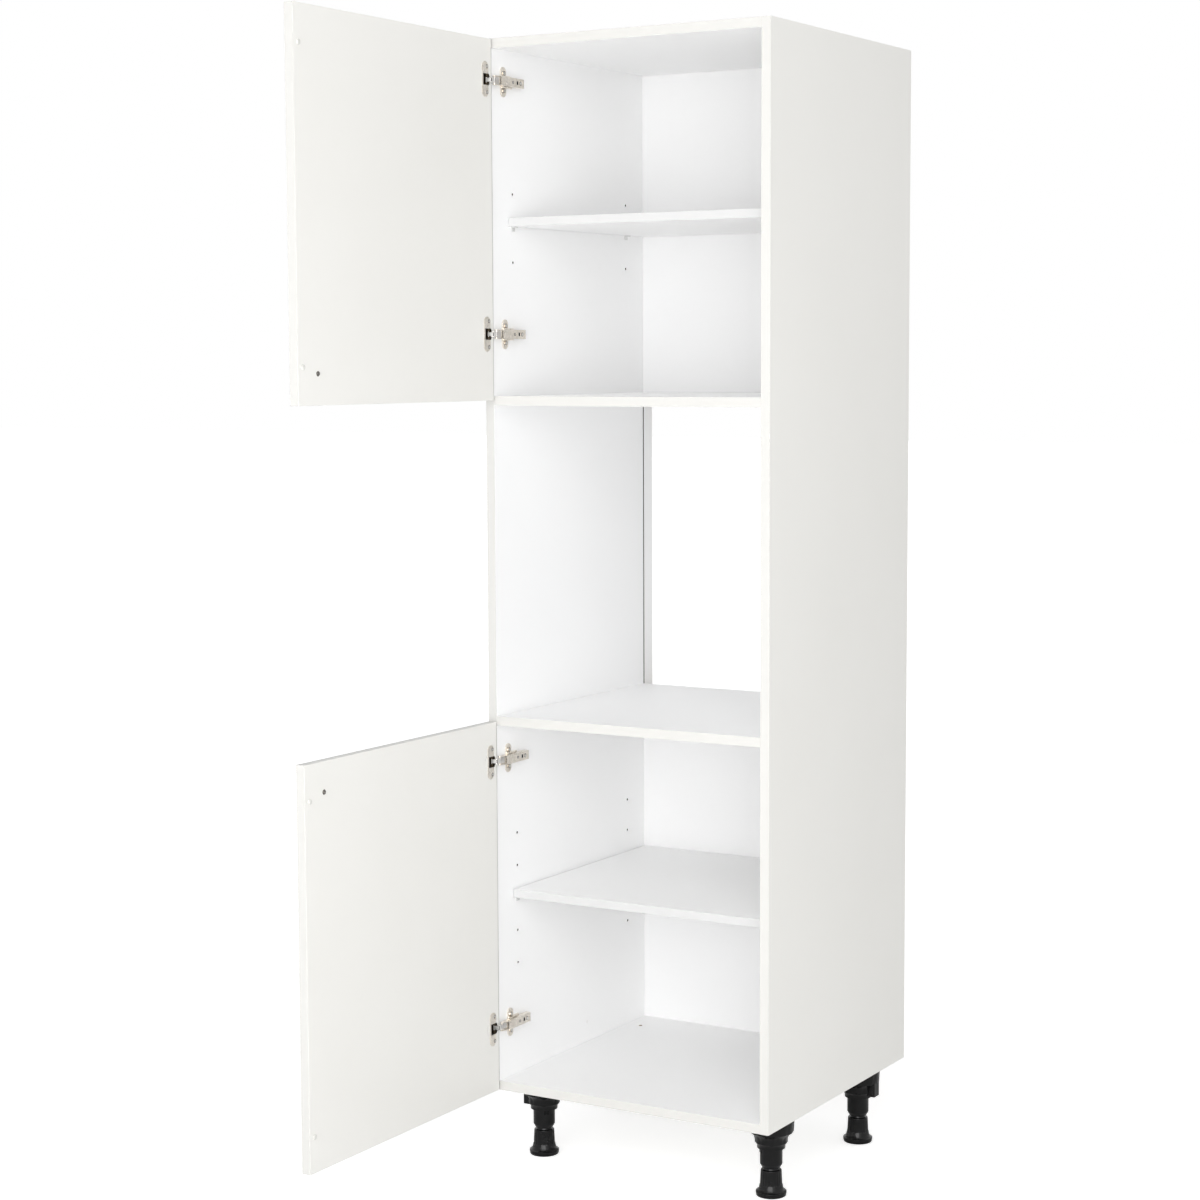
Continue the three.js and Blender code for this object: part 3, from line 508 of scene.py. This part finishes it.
# %% [markdown]
# The hinges are pressed from steel sheet and plated with nickel, which is a warm grey
# metal. The small links are bright, the cup's inside is given a dark colour as painted shade,
# because little light gets in, and the screws are zinc plated. The legs are moulded in black
# plastic with a soft gloss.

# %% Metals and plastics
nickel = surface(
    "nickel_plate", (0.84, 0.785, 0.705), (0.77, 0.71, 0.625), 0.27, spread=0.16, size=45,
    pebble_size=1600, depth=0.06, worn_and_lit=(0.86, 0.84, 0.8), Metallic=1.0,
)
bright_nickel = surface(
    "bright_nickel", (0.9, 0.885, 0.85), (0.83, 0.81, 0.77), 0.16, spread=0.1, size=60,
    pebble_size=1800, depth=0.03, Metallic=1.0,
)
# The cup's inside: the nickel painted nearly black, as painted shade and painted reflection of
# the dark mechanism.
cup_painted_shade = surface(
    "cup_inside_painted_shade", (0.1, 0.08, 0.055), (0.06, 0.047, 0.032), 0.38, spread=0.2, size=60,
    pebble_size=1500, depth=0.05, Metallic=1.0,
)
# A dark disc under each screw head: the painted shadow of the gap round the head.
seat_painted_shadow = surface(
    "screw_seat", (0.09, 0.065, 0.04), (0.06, 0.045, 0.03), 0.4, spread=0.1, size=60,
    pebble_size=1500, depth=0.03, Metallic=0.6,
)
zinc = surface(
    "zinc_plate", (0.63, 0.62, 0.6), (0.52, 0.51, 0.49), 0.33, spread=0.18, size=90,
    pebble_size=2200, depth=0.06, Metallic=1.0,
)
dark_screw = surface(
    "dark_screw", (0.2, 0.19, 0.175), (0.14, 0.13, 0.12), 0.4, spread=0.15, size=90,
    pebble_size=2200, depth=0.05, Metallic=1.0,
)
peg_steel = surface(
    "peg_steel", (0.78, 0.78, 0.775), (0.7, 0.7, 0.69), 0.32, spread=0.12, size=70,
    pebble_size=2000, depth=0.05, Metallic=1.0,
)
black_plastic = surface(
    "leg_plastic", (0.005, 0.005, 0.0052), (0.007, 0.007, 0.0073), 0.17, spread=0.1, size=26,
    pebble_size=1500, depth=0.04, worn_and_lit=(0.02, 0.02, 0.021),
    Specular_IOR_Level=0.24,
)
# The leg's slot: a black, nearly matt colour that is the painted shade of its recess.
slot_painted_shade = surface(
    "slot_painted_shade", (0.003, 0.003, 0.003), (0.004, 0.004, 0.004), 0.7, pebble_size=1500,
    Specular_IOR_Level=0.05,
)
knob_metal = surface(
    "knob_metal", (0.66, 0.65, 0.63), (0.6, 0.59, 0.57), 0.34, spread=0.12, size=50,
    pebble_size=1900, depth=0.05, Metallic=1.0,
)
clear_pad = surface(
    "clear_pad", (0.72, 0.712, 0.68), (0.68, 0.672, 0.64), 0.42, size=80, pebble_size=1500,
    IOR=1.42, Specular_IOR_Level=0.25,
)
white_plug = surface("white_plug", (0.9, 0.9, 0.89), (0.87, 0.87, 0.86), 0.3, depth=0.03)
print("materials:", len(bpy.data.materials))


# %% [markdown]
# ## Boards
#
# A real board isn't a perfect block: its edge band is scraped to a small round, and the
# light catches that round as a fine line. Each board below is made from the CAD solid's own
# mesh, so holes and grooves are already in it. The copy's sharp edges are beveled by a few
# tenths of a millimetre, and its faces are sorted onto the finishes by where they lie.
# Normals are weighted by face area, so the large faces stay flat and only the rounds shade.


# %% Turn a CAD solid into a rounded piece
AREA_WEIGHT = 50


def linked(name, bm, materials, slot, body, *replaced):
    """Makes an object of a bmesh, with normals that follow the larger faces, riding on a body."""
    mesh = bpy.data.meshes.new(name)
    for material in materials:
        mesh.materials.append(material)
    for face in bm.faces:
        face.smooth = True
    bm.to_mesh(mesh)
    bm.free()
    piece = bpy.data.objects.new(name, mesh)
    bpy.context.scene.collection.objects.link(piece)
    rounds = piece.modifiers.new("flat_faces_stay_flat", "WEIGHTED_NORMAL")
    rounds.weight = AREA_WEIGHT
    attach(piece, body)
    if replaced:
        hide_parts(*replaced)
    return piece


def body_of(node):
    return nodes[node]["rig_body"]


SHARP = math.radians(28)
FLAT = math.radians(0.6)
MERGE_DISTANCE = 2e-6
ROUND_PROFILE = 0.5


def rounded(node, width, materials, slot, sort=None, segments=2):
    """A beveled copy of a CAD node that stands for it. sort gives each face its finish."""
    bm = bmesh.new()
    bm.from_mesh(nodes[node].data)
    bmesh.ops.remove_doubles(bm, verts=bm.verts, dist=MERGE_DISTANCE)
    bmesh.ops.dissolve_limit(bm, angle_limit=FLAT, verts=bm.verts, edges=bm.edges)
    sharp = [e for e in bm.edges if e.is_manifold and e.calc_face_angle() > SHARP]
    bmesh.ops.bevel(
        bm, geom=sharp, offset=width, offset_type="OFFSET", segments=segments,
        profile=ROUND_PROFILE, affect="EDGES", clamp_overlap=True,
    )
    bmesh.ops.recalc_face_normals(bm, faces=bm.faces)
    for face in bm.faces:
        face.material_index = sort(face.calc_center_median(), face.normal) if sort else 0
    return linked(node + "_piece", bm, materials, slot, body_of(node), node)


# %% Sides
CARCASS_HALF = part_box("right_side")[1].x
SIDE_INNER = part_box("right_side")[0].x
CARCASS_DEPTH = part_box("right_side")[1].y
SIDE_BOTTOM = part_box("right_side")[0].z
SIDE_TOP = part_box("right_side")[1].z
BOARD_EDGE = 0.0005
SHELF_EDGE = 0.0008
BACK_EDGE = 0.0002
DOOR_EDGE = 0.0007
NEAR_FRONT = 0.01
NEAR_FACE = 0.001
# How much of a face's normal has to point along an axis: loosely, fairly and closely.
LOOSE, FAIR, CLOSE = 0.5, 0.6, 0.9


def side_finish(centre, normal):
    """0 outside, 1 inside, 2 front band, 3 raw chipboard, 4 groove and hole walls in painted
    shade.
    """
    if normal.y < -LOOSE and centre.y < NEAR_FRONT:
        return 2
    if abs(centre.x) > CARCASS_HALF - BOARD_EDGE:
        return 0
    if abs(centre.x) < SIDE_INNER + BOARD_EDGE:
        return 1
    if abs(normal.z) > LOOSE and centre.y < NEAR_FRONT:
        return 2
    at_end = min(centre.z - SIDE_BOTTOM, SIDE_TOP - centre.z) < NEAR_FACE
    return 3 if centre.y > CARCASS_DEPTH - NEAR_FACE or at_end else 4


for node in ("left_side", "right_side"):
    finishes = [outer_laminate, inner_laminate, edge_band_painted_shade, raw_board, groove_painted_shade]
    piece = rounded(node, BOARD_EDGE, finishes, "carcass_board", side_finish)
    print(piece.name, len(piece.data.polygons), "faces")


# %% [markdown]
# The boards between the sides have a banded front edge. Their faces belong to the inside
# of the unit, except the top's upper face and the bottom's under face, which are outside.

# %% Cross boards
def cross_finish(outer_up, outer_down):
    def sort(centre, normal):
        if normal.y < -LOOSE and centre.y < NEAR_FRONT:
            return 2
        if normal.z > CLOSE:
            return 0 if outer_up else 1
        if normal.z < -CLOSE:
            return 0 if outer_down else 1
        return 3

    return sort


for node, outer_up, outer_down in (
    ("top_panel", True, False),
    ("niche_ceiling", False, False),
    ("niche_floor", False, False),
    ("bottom_panel", False, True),
):
    finishes = [outer_laminate, inner_laminate, edge_band_painted_shade, raw_board]
    piece = rounded(
        node, BOARD_EDGE, finishes, "carcass_board", cross_finish(outer_up, outer_down)
    )
    print(piece.name, len(piece.data.polygons), "faces")

# %% Shelves and backs
for node in ("upper_shelf", "lower_shelf"):
    rounded(
        node, SHELF_EDGE, [shelf_laminate_painted_light, shelf_band_painted_shade], "shelf_board",
        lambda centre, normal: 0 if abs(normal.z) > FAIR else 1,
    )
for node in ("upper_back", "lower_back"):
    rounded(
        node, BACK_EDGE, [back_lacquer, raw_back], "back_board",
        lambda centre, normal: 0 if normal.y < -LOOSE else 1, segments=1,
    )
print("shelf", tuple(round(c, 3) for c in nodes["upper_shelf"].dimensions))

# %% [markdown]
# ## Doors
#
# A door is one board, laminated on both faces and banded all round; its laminate is darker
# than the unit's outside, and darker still on its outer face, as painted shade. Its cup bores
# and the knob's screw hole come with the CAD solid; their walls are raw chipboard.

# %% Doors
DOOR_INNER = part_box("upper_door")[1].x
DOOR_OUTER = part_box("upper_door")[0].x


def door_finish(low, high):
    def sort(centre, normal):
        if abs(normal.x) > FAIR and (
            centre.x > DOOR_INNER - NEAR_FACE or centre.x < DOOR_OUTER + NEAR_FACE
        ):
            return 0 if normal.x > 0 else 3
        edge = min(centre.y - low.y, high.y - centre.y, centre.z - low.z, high.z - centre.z)
        return 1 if edge < NEAR_FACE else 2

    return sort


for node in ("upper_door", "lower_door"):
    low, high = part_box(node)
    piece = rounded(
        node, DOOR_EDGE, [door_laminate, edge_band_painted_shade, raw_board, door_front], "door_board",
        door_finish(low, high), segments=3,
    )
    print(piece.name, [round(c, 3) for c in high - low])


# %% [markdown]
# ## Turned pieces
#
# Legs, knobs and pads are round. A profile of radius and height pairs is swept round an
# axis, as on a lathe. A ripple changes the radius with the angle, for the ribs of a leg.


# %% A lathe
ON_AXIS = 1e-7


def lathe(bm, profile, frame_matrix, steps=64, ripple=None, finish=0):
    """Sweeps (radius, height) pairs round the matrix's Z. A radius of 0 closes an end."""
    rings = []
    for radius, height in profile:
        if radius < ON_AXIS:
            rings.append([bm.verts.new(frame_matrix @ Vector((0, 0, height)))])
            continue
        ring = []
        for i in range(steps):
            angle = 2 * math.pi * i / steps
            r = radius + (ripple(angle, height) if ripple else 0)
            point = Vector((r * math.cos(angle), r * math.sin(angle), height))
            ring.append(bm.verts.new(frame_matrix @ point))
        rings.append(ring)
    for lower, upper in zip(rings, rings[1:]):
        for i in range(steps):
            j = (i + 1) % steps
            if len(lower) == 1 and len(upper) == 1:
                continue
            if len(lower) == 1:
                corners = (lower[0], upper[j], upper[i])
            elif len(upper) == 1:
                corners = (lower[i], lower[j], upper[0])
            else:
                corners = (lower[i], lower[j], upper[j], upper[i])
            bm.faces.new(corners).material_index = finish


def millimetres(profile):
    return [(radius * MM, height * MM) for radius, height in profile]


def arc(centre_radius, centre_height, radius, start, stop, steps):
    """Points on a corner round of a profile, in degrees from the outward direction."""
    return [
        (
            centre_radius + radius * math.cos(math.radians(start + (stop - start) * i / steps)),
            centre_height + radius * math.sin(math.radians(start + (stop - start) * i / steps)),
        )
        for i in range(steps + 1)
    ]


# %% [markdown]
# ## Legs
#
# A leg is moulded in two parts. The socket is a ribbed bell under the bottom panel that
# narrows to a round column; a block stands out at one side. The foot screws into it: a
# threaded stem, a fluted collar to grip, and a flared base. Heights are from the floor.
# The column has a small square slot with a raised frame, between the block and the front;
# the slot itself is a flat block in black, the painted shade of its recess.

# %% Leg sockets
RIBS = 12
RIB_DEPTH = 0.9 * MM
RIB_ZONE = (0.099, 0.149)
RIB_FADE = 0.006
RIB_SHARPNESS = 6
BELL_STEPS = 96
BELL = millimetres(
    [
        (0, 138), (14.8, 138), (14.8, 54), (16.4, 54), *arc(16.9, 54.5, 0.5, -90, -30, 2),
        (20.8, 60.4), (21.2, 61.5), (21.2, 90.4), *arc(25.7, 91.8, 0.8, -90, 0, 3),
        (26.5, 97.4), *arc(30.2, 103, 0.8, -60, 0, 3), (31, 106.5), (31.3, 109.5),
        (32.5, 113), (34.8, 116.8), (38.2, 120.2), (41.4, 122.3), (42, 123.5), (42.6, 133),
        (43.4, 146), (43.9, 149.6), (43.6, 150), (0, 150),
    ]
)


def ribs(angle, height):
    if not RIB_ZONE[0] < height < RIB_ZONE[1]:
        return 0
    edge = min(height - RIB_ZONE[0], RIB_ZONE[1] - height) / RIB_FADE
    wave = abs(math.sin(RIBS * angle / 2)) ** RIB_SHARPNESS
    return -RIB_DEPTH * min(1, edge) * wave


def block(bm, low, high, width, finish=0):
    """A box with rounded edges, added to a bmesh."""
    made = bmesh.ops.create_cube(bm, size=1)["verts"]
    middle, size = (low + high) / 2, high - low
    for vert in made:
        vert.co = middle + Vector([c * s for c, s in zip(vert.co, size)])
    faces = {face for vert in made for face in vert.link_faces}
    edges = {edge for face in faces for edge in face.edges}
    for face in faces:
        face.material_index = finish
    bmesh.ops.bevel(
        bm, geom=list(edges), offset=width, offset_type="OFFSET", segments=3,
        profile=ROUND_PROFILE, affect="EDGES", clamp_overlap=True,
    )


LEGS = ("front_left", "front_right", "rear_left", "rear_right")
LUG_TURN = {"front_left": 180, "rear_left": 180, "front_right": 90, "rear_right": 0}
LUG = Vector((0.0172, -0.011, 0.096)), Vector((0.041, 0.011, 0.15))
LUG_EDGE = 0.0012
SLOT_FROM_LUG = math.radians(135)
# The slot: a flat block in black, the painted shade of a recess, and a raised frame round it.
SLOT_SHADE_BLOCK = Vector((0.018, -0.004, 0.0832)), Vector((0.0211, 0.004, 0.0905))
SLOT_SHADE_BLOCK_EDGE = 0.0002
SLOT_FRAME = (
    (Vector((0.018, -0.0052, 0.082)), Vector((0.0216, -0.004, 0.0908))),
    (Vector((0.018, 0.004, 0.082)), Vector((0.0216, 0.0052, 0.0908))),
    (Vector((0.018, -0.0052, 0.082)), Vector((0.0216, 0.0052, 0.0832))),
)
SLOT_FRAME_EDGE = 0.0003


def leg_axis(leg):
    """The matrix that stands a piece on the floor at a leg's axis."""
    low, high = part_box(f"leg_foot_{leg}")
    return Matrix.Translation(Vector(((low.x + high.x) / 2, (low.y + high.y) / 2, 0)))


for leg in LEGS:
    stand = leg_axis(leg) @ Matrix.Rotation(math.radians(LUG_TURN[leg]), 4, "Z")
    bm = bmesh.new()
    lathe(bm, BELL, stand, steps=BELL_STEPS, ripple=ribs)
    extras = bmesh.new()
    block(extras, *SLOT_SHADE_BLOCK, SLOT_SHADE_BLOCK_EDGE, finish=1)
    for low_corner, high_corner in SLOT_FRAME:
        block(extras, low_corner, high_corner, SLOT_FRAME_EDGE)
    extras.transform(Matrix.Rotation(SLOT_FROM_LUG, 4, "Z"))
    block(extras, *LUG, LUG_EDGE)
    extras.transform(stand)
    extras_mesh = bpy.data.meshes.new("extras")
    extras.to_mesh(extras_mesh)
    extras.free()
    bm.from_mesh(extras_mesh)
    bpy.data.meshes.remove(extras_mesh)
    bmesh.ops.recalc_face_normals(bm, faces=bm.faces)
    linked(
        f"leg_socket_{leg}_piece", bm, [black_plastic, slot_painted_shade], "leg_plastic", "carcass",
        f"leg_socket_{leg}",
    )
print("legs:", len(LEGS))

# %% Feet
FLUTES = 20
FLUTE_DEPTH = 0.9 * MM
FLUTE_FADE = 0.003
COLLAR = (0.0205, 0.0475)
FOOT_STEPS = 120
# The thread's pitch, its turns, and its crests and roots as radius and first height.
THREAD_PITCH = 3.0
THREAD_TURNS = 28
CREST = (14.5, 52)
ROOT = (13.6, 53.5)
THREAD = [
    (radius, height + i * THREAD_PITCH)
    for i in range(THREAD_TURNS)
    for radius, height in (CREST, ROOT)
]
FOOT = millimetres(
    [
        (0, 0), (25.4, 0), *arc(26.6, 1.6, 1.6, -80, -30, 3), (28.6, 3.8), (29, 6),
        *arc(28.2, 8.2, 0.8, 0, 80, 4), (26.8, 9.4), (25.2, 10.6), (23.9, 12.4), (23, 14.8),
        (22.3, 17.6), (21.8, 20.5), (20.9, 22), (20.2, 36), (19.8, 46.5),
        *arc(18.4, 48.4, 1.2, 0, 80, 3), (15.2, 50), (14.5, 50.4), *THREAD, (14.2, 137.2),
        (13.6, 137.7), (0, 137.7),
    ]
)


def flutes(angle, height):
    if not COLLAR[0] < height < COLLAR[1]:
        return 0
    edge = min(height - COLLAR[0], COLLAR[1] - height) / FLUTE_FADE
    return -FLUTE_DEPTH * min(1, edge) * max(0, math.sin(FLUTES * angle)) ** 0.5


for leg in LEGS:
    bm = bmesh.new()
    lathe(bm, FOOT, leg_axis(leg), steps=FOOT_STEPS, ripple=flutes)
    bmesh.ops.recalc_face_normals(bm, faces=bm.faces)
    linked(
        f"leg_foot_{leg}_piece", bm, [black_plastic], "leg_plastic", f"foot_{leg}",
        f"leg_foot_{leg}",
    )
print("foot profile points:", len(FOOT))


# %% [markdown]
# ## Screws
#
# Every screw has a low domed head with a cross recess. The recess is real geometry: the
# flat top is filled between the head's rim and a cross-shaped outline, and the outline goes
# down to a smaller one. All screws of one fitting are one piece, in the fitting's metal.


# %% A cross-head screw
HEAD_STEPS = 24
HEAD_SPIN = 0.4
# The dome as shares of the head's radius and height.
DOME = ((0, 0), (0.96, 0), (1, 0.2), (0.97, 0.55), (0.88, 0.86), (0.74, 1))
# Half length and half width of the cross, its depth, and how much its floor is drawn in.
CROSS_ARM, CROSS_HALF, CROSS_FLOOR = 0.52, 0.13, 0.3
CROSS_DRAFT = (0.72, 0.8)


def screw_head(bm, stand, radius, height):
    """A screw head whose foot is at the stand's origin and which points along its Z."""
    stand = stand @ Matrix.Rotation(HEAD_SPIN, 4, "Z")
    lathe(bm, [(radius * r, height * h) for r, h in DOME], stand, steps=HEAD_STEPS)
    bm.verts.ensure_lookup_table()
    rim = bm.verts[-HEAD_STEPS:]
    arm, half = radius * CROSS_ARM, radius * CROSS_HALF
    outline = [
        (arm, -half), (arm, half), (half, half), (half, arm), (-half, arm), (-half, half),
        (-arm, half), (-arm, -half), (-half, -half), (-half, -arm), (half, -arm), (half, -half),
    ]
    upper = [bm.verts.new(stand @ Vector((x, y, height))) for x, y in outline]
    floor_corners = [
        Vector((x * CROSS_DRAFT[0], y * CROSS_DRAFT[1], height * CROSS_FLOOR)) for x, y in outline
    ]
    lower = [bm.verts.new(stand @ corner) for corner in floor_corners]
    sides = len(outline)
    edges = [bm.edges.new((upper[i], upper[(i + 1) % sides])) for i in range(sides)]
    edges += [bm.edges.get((rim[i], rim[(i + 1) % HEAD_STEPS])) for i in range(HEAD_STEPS)]
    bmesh.ops.triangle_fill(bm, edges=edges, use_beauty=True)
    for i in range(sides):
        j = (i + 1) % sides
        bm.faces.new((upper[i], upper[j], lower[j], lower[i]))
    bm.faces.new(lower)


# Every screw of this unit points to the right, along X, with the doors open.
AWAY = Vector((1, 0, 0)).to_track_quat("Z", "Y").to_matrix().to_4x4()
# Reach past the head, half thickness and steps of each screw's dark disc of painted shadow.
SHADOW_DISC_WIDTH = 0.0008
SHADOW_DISC_HEIGHT = 0.00015
SHADOW_DISC_STEPS = 32


def screws(name, body, slot, metal, heads, *replaced):
    """One piece of several heads: (place, radius, height), each on a dark disc of painted shadow.
    """
    bm = bmesh.new()
    for place, radius, height in heads:
        stand = Matrix.Translation(place) @ AWAY
        screw_head(bm, stand, radius, height)
        reach = radius + SHADOW_DISC_WIDTH
        disc = [
            (0, -SHADOW_DISC_HEIGHT), (reach, -SHADOW_DISC_HEIGHT), (reach, SHADOW_DISC_HEIGHT), (0, SHADOW_DISC_HEIGHT)
        ]
        lathe(bm, disc, stand, steps=SHADOW_DISC_STEPS, finish=1)
    bmesh.ops.recalc_face_normals(bm, faces=bm.faces)
    linked(name, bm, [metal, seat_painted_shadow], slot, body, *replaced)


# %% [markdown]
# ## Hinges
#
# The cup sinks into the door, the plate is screwed to the side panel, and the arm sits on
# the plate. Each CAD solid becomes a beveled piece in nickel or zinc. The cup's pocket is
# sorted onto a dark colour of the metal, painted shade and painted reflection, because inside
# it only the mechanism reflects. Every screw sits on a dark round disc, a painted shadow of the
# gap that makes a small screw show from afar.

# %% Hinge pieces
# A plate screw is given as depth from the unit's front and height from the hinge's middle, a
# cup screw as depth and height from the cup's middle, the other two as depth from the front.
PLATE_SCREW = (0.037, 0.016)
CUP_SCREW = (0.006, 0.024)
ADJUSTING_SCREW = 0.051
ARM_SLOT = 0.067
# Radius and height of each kind of screw head.
PLATE_HEAD = (0.0034, 0.0012)
CUP_HEAD = (0.0027, 0.0007)
ADJUSTING_HEAD = (0.0019, 0.0004)
FIXING_HEAD_RADIUS = 0.003
PLATE_FACE = -SIDE_INNER + 0.0045
WING_HALF_WIDTH = 0.0107
POCKET_DEPTH = 0.0004
# A black block in the arm's slot, which makes the slot look dark: half its depth and height,
# and its ends below the arm's top.
ARM_SLOT_BLOCK_HALF = (0.0028, 0.0032)
ARM_SLOT_BLOCK_FOOT, ARM_SLOT_BLOCK_TOP = 0.004, 0.0002
ARM_SLOT_BLOCK_EDGE = 0.0002
# Bevel widths of the hinge's pieces.
PLATE_EDGE, ARM_EDGE, LINK_EDGE, CUP_EDGE = 0.00025, 0.0003, 0.00015, 0.0002


def cup_finish(cup_middle):
    """0 the wings, 1 the inside, in painted shade, 2 the rim, which lies in the door's face and
    is white too.
    """
    def sort(centre, normal):
        if centre.x < DOOR_INNER - POCKET_DEPTH:
            return 1
        return 2 if abs(centre.y - cup_middle) > WING_HALF_WIDTH else 0

    return sort


def pair(x, y, middle, reach, head):
    """Two screw heads of one kind, the same distance under and over a middle height."""
    return [(Vector((x, y, middle + way * reach)), *head) for way in (-1, 1)]


for level_name in ("upper", "lower"):
    for end_name in ("top", "bottom"):
        hinge = f"{level_name}_hinge_{end_name}"
        arm_low, arm_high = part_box(f"{hinge}_arm")
        cup_low, cup_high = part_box(f"{hinge}_cup")
        middle = (arm_low.z + arm_high.z) / 2
        arm_top = arm_high.x
        cup_middle = (cup_low.y + cup_high.y) / 2
        rounded(f"{hinge}_plate", PLATE_EDGE, [nickel], "hinge_metal")
        rounded(f"{hinge}_arm", ARM_EDGE, [nickel], "hinge_metal")
        rounded(
            f"{hinge}_outer_link", LINK_EDGE, [bright_nickel], "hinge_metal", segments=1
        )
        rounded(f"{hinge}_inner_link", LINK_EDGE, [zinc], "screw_steel", segments=1)
        rounded(
            f"{hinge}_cup", CUP_EDGE, [nickel, cup_painted_shade, door_laminate], "hinge_metal",
            cup_finish(cup_middle),
        )
        fix_low, fix_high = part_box(f"{hinge}_screw")
        fix_place = Vector((arm_top, (fix_low.y + fix_high.y) / 2, middle))
        screws(
            f"{hinge}_screw_piece", "carcass", "screw_steel", zinc,
            [(fix_place, FIXING_HEAD_RADIUS, fix_high.x - arm_top)], f"{hinge}_screw",
        )
        screws(
            f"{hinge}_adjusting_screw", "carcass", "screw_steel", zinc,
            [(Vector((arm_top, ADJUSTING_SCREW, middle)), *ADJUSTING_HEAD)],
        )
        bm = bmesh.new()
        arm_slot_block_low = Vector((arm_top - ARM_SLOT_BLOCK_FOOT, ARM_SLOT - ARM_SLOT_BLOCK_HALF[0], middle - ARM_SLOT_BLOCK_HALF[1]))
        arm_slot_block_high = Vector((arm_top - ARM_SLOT_BLOCK_TOP, ARM_SLOT + ARM_SLOT_BLOCK_HALF[0], middle + ARM_SLOT_BLOCK_HALF[1]))
        block(bm, arm_slot_block_low, arm_slot_block_high, ARM_SLOT_BLOCK_EDGE)
        linked(f"{hinge}_slot_dark_block", bm, [black_plastic], "screw_steel", "carcass")
        plate_y, plate_reach = PLATE_SCREW
        screws(
            f"{hinge}_plate_screws", "carcass", "screw_steel", zinc,
            pair(PLATE_FACE, plate_y, middle, plate_reach, PLATE_HEAD),
        )
        cup_y, cup_reach = CUP_SCREW
        screws(
            f"{hinge}_cup_screws", f"{level_name}_door", "screw_steel", zinc,
            pair(cup_high.x, cup_middle + cup_y, middle, cup_reach, CUP_HEAD),
        )
print("hinges dressed")

# %% [markdown]
# ## Small fittings
#
# Knobs, knob screws, door pads, shelf pegs and the small white plug on the left side. None
# of them is large, but each is a separate part on the real unit, so each is one here.

# %% Knobs, pads, pegs and plug
ACROSS = Matrix.Rotation(-math.pi / 2, 4, "Y")
KNOB_HEAD = (0.0038, 0.002)
PEG_EDGE = 0.0004
PAD_STEPS, PLUG_STEPS = 40, 32
KNOB = millimetres(
    [
        (0, 0), (7.2, 0), (7.5, 0.4), (7.2, 1.4), (6.7, 4), (6.5, 8), (6.8, 11), (8.4, 13.6),
        (11.4, 15.4), (14, 16.6), (15, 18.2), (14.9, 20.2), (13.6, 22), (10.6, 23.6),
        (6, 24.6), (2, 24.95), (0, 25),
    ]
)
PAD = millimetres(
    [(0, 0), (5, 0), (5, 0.5), (4.8, 1.1), (4.2, 1.65), (3, 2.05), (1.5, 2.18), (0, 2.2)]
)
for level_name in ("upper", "lower"):
    door = f"{level_name}_door"
    low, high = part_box(f"{door}_knob")
    centre = (low + high) / 2
    bm = bmesh.new()
    lathe(bm, KNOB, Matrix.Translation(Vector((DOOR_OUTER, centre.y, centre.z))) @ ACROSS)
    bmesh.ops.recalc_face_normals(bm, faces=bm.faces)
    linked(f"{door}_knob_piece", bm, [knob_metal], "knob_metal", door, f"{door}_knob")
    screws(
        f"{door}_knob_screw_piece", door, "screw_steel", dark_screw,
        [(Vector((DOOR_INNER, centre.y, centre.z)), *KNOB_HEAD)], f"{door}_knob_screw",
    )
    for end_name in ("top", "bottom"):
        low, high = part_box(f"{door}_bumper_{end_name}")
        centre = (low + high) / 2
        bm = bmesh.new()
        stand = Matrix.Translation(Vector((DOOR_INNER, centre.y, centre.z)))
        lathe(bm, PAD, stand @ ACROSS.inverted(), steps=PAD_STEPS)
        bmesh.ops.recalc_face_normals(bm, faces=bm.faces)
        linked(
            f"{door}_bumper_{end_name}_piece", bm, [clear_pad], "bumper_plastic", door,
            f"{door}_bumper_{end_name}",
        )
for node in [n for n in nodes if "shelf_peg" in n]:
    rounded(node, PEG_EDGE, [peg_steel], "hinge_metal")

PLUG_PLACE = Vector((-SIDE_INNER, 0.327, 0.209))
PLUG = millimetres([(0, 0), (3.4, 0), (3.3, 0.35), (2.8, 0.6), (0, 0.65)])
bm = bmesh.new()
lathe(bm, PLUG, Matrix.Translation(PLUG_PLACE) @ ACROSS.inverted(), steps=PLUG_STEPS)
bmesh.ops.recalc_face_normals(bm, faces=bm.faces)
linked("left_side_plug", bm, [white_plug], "carcass_board", "carcass")
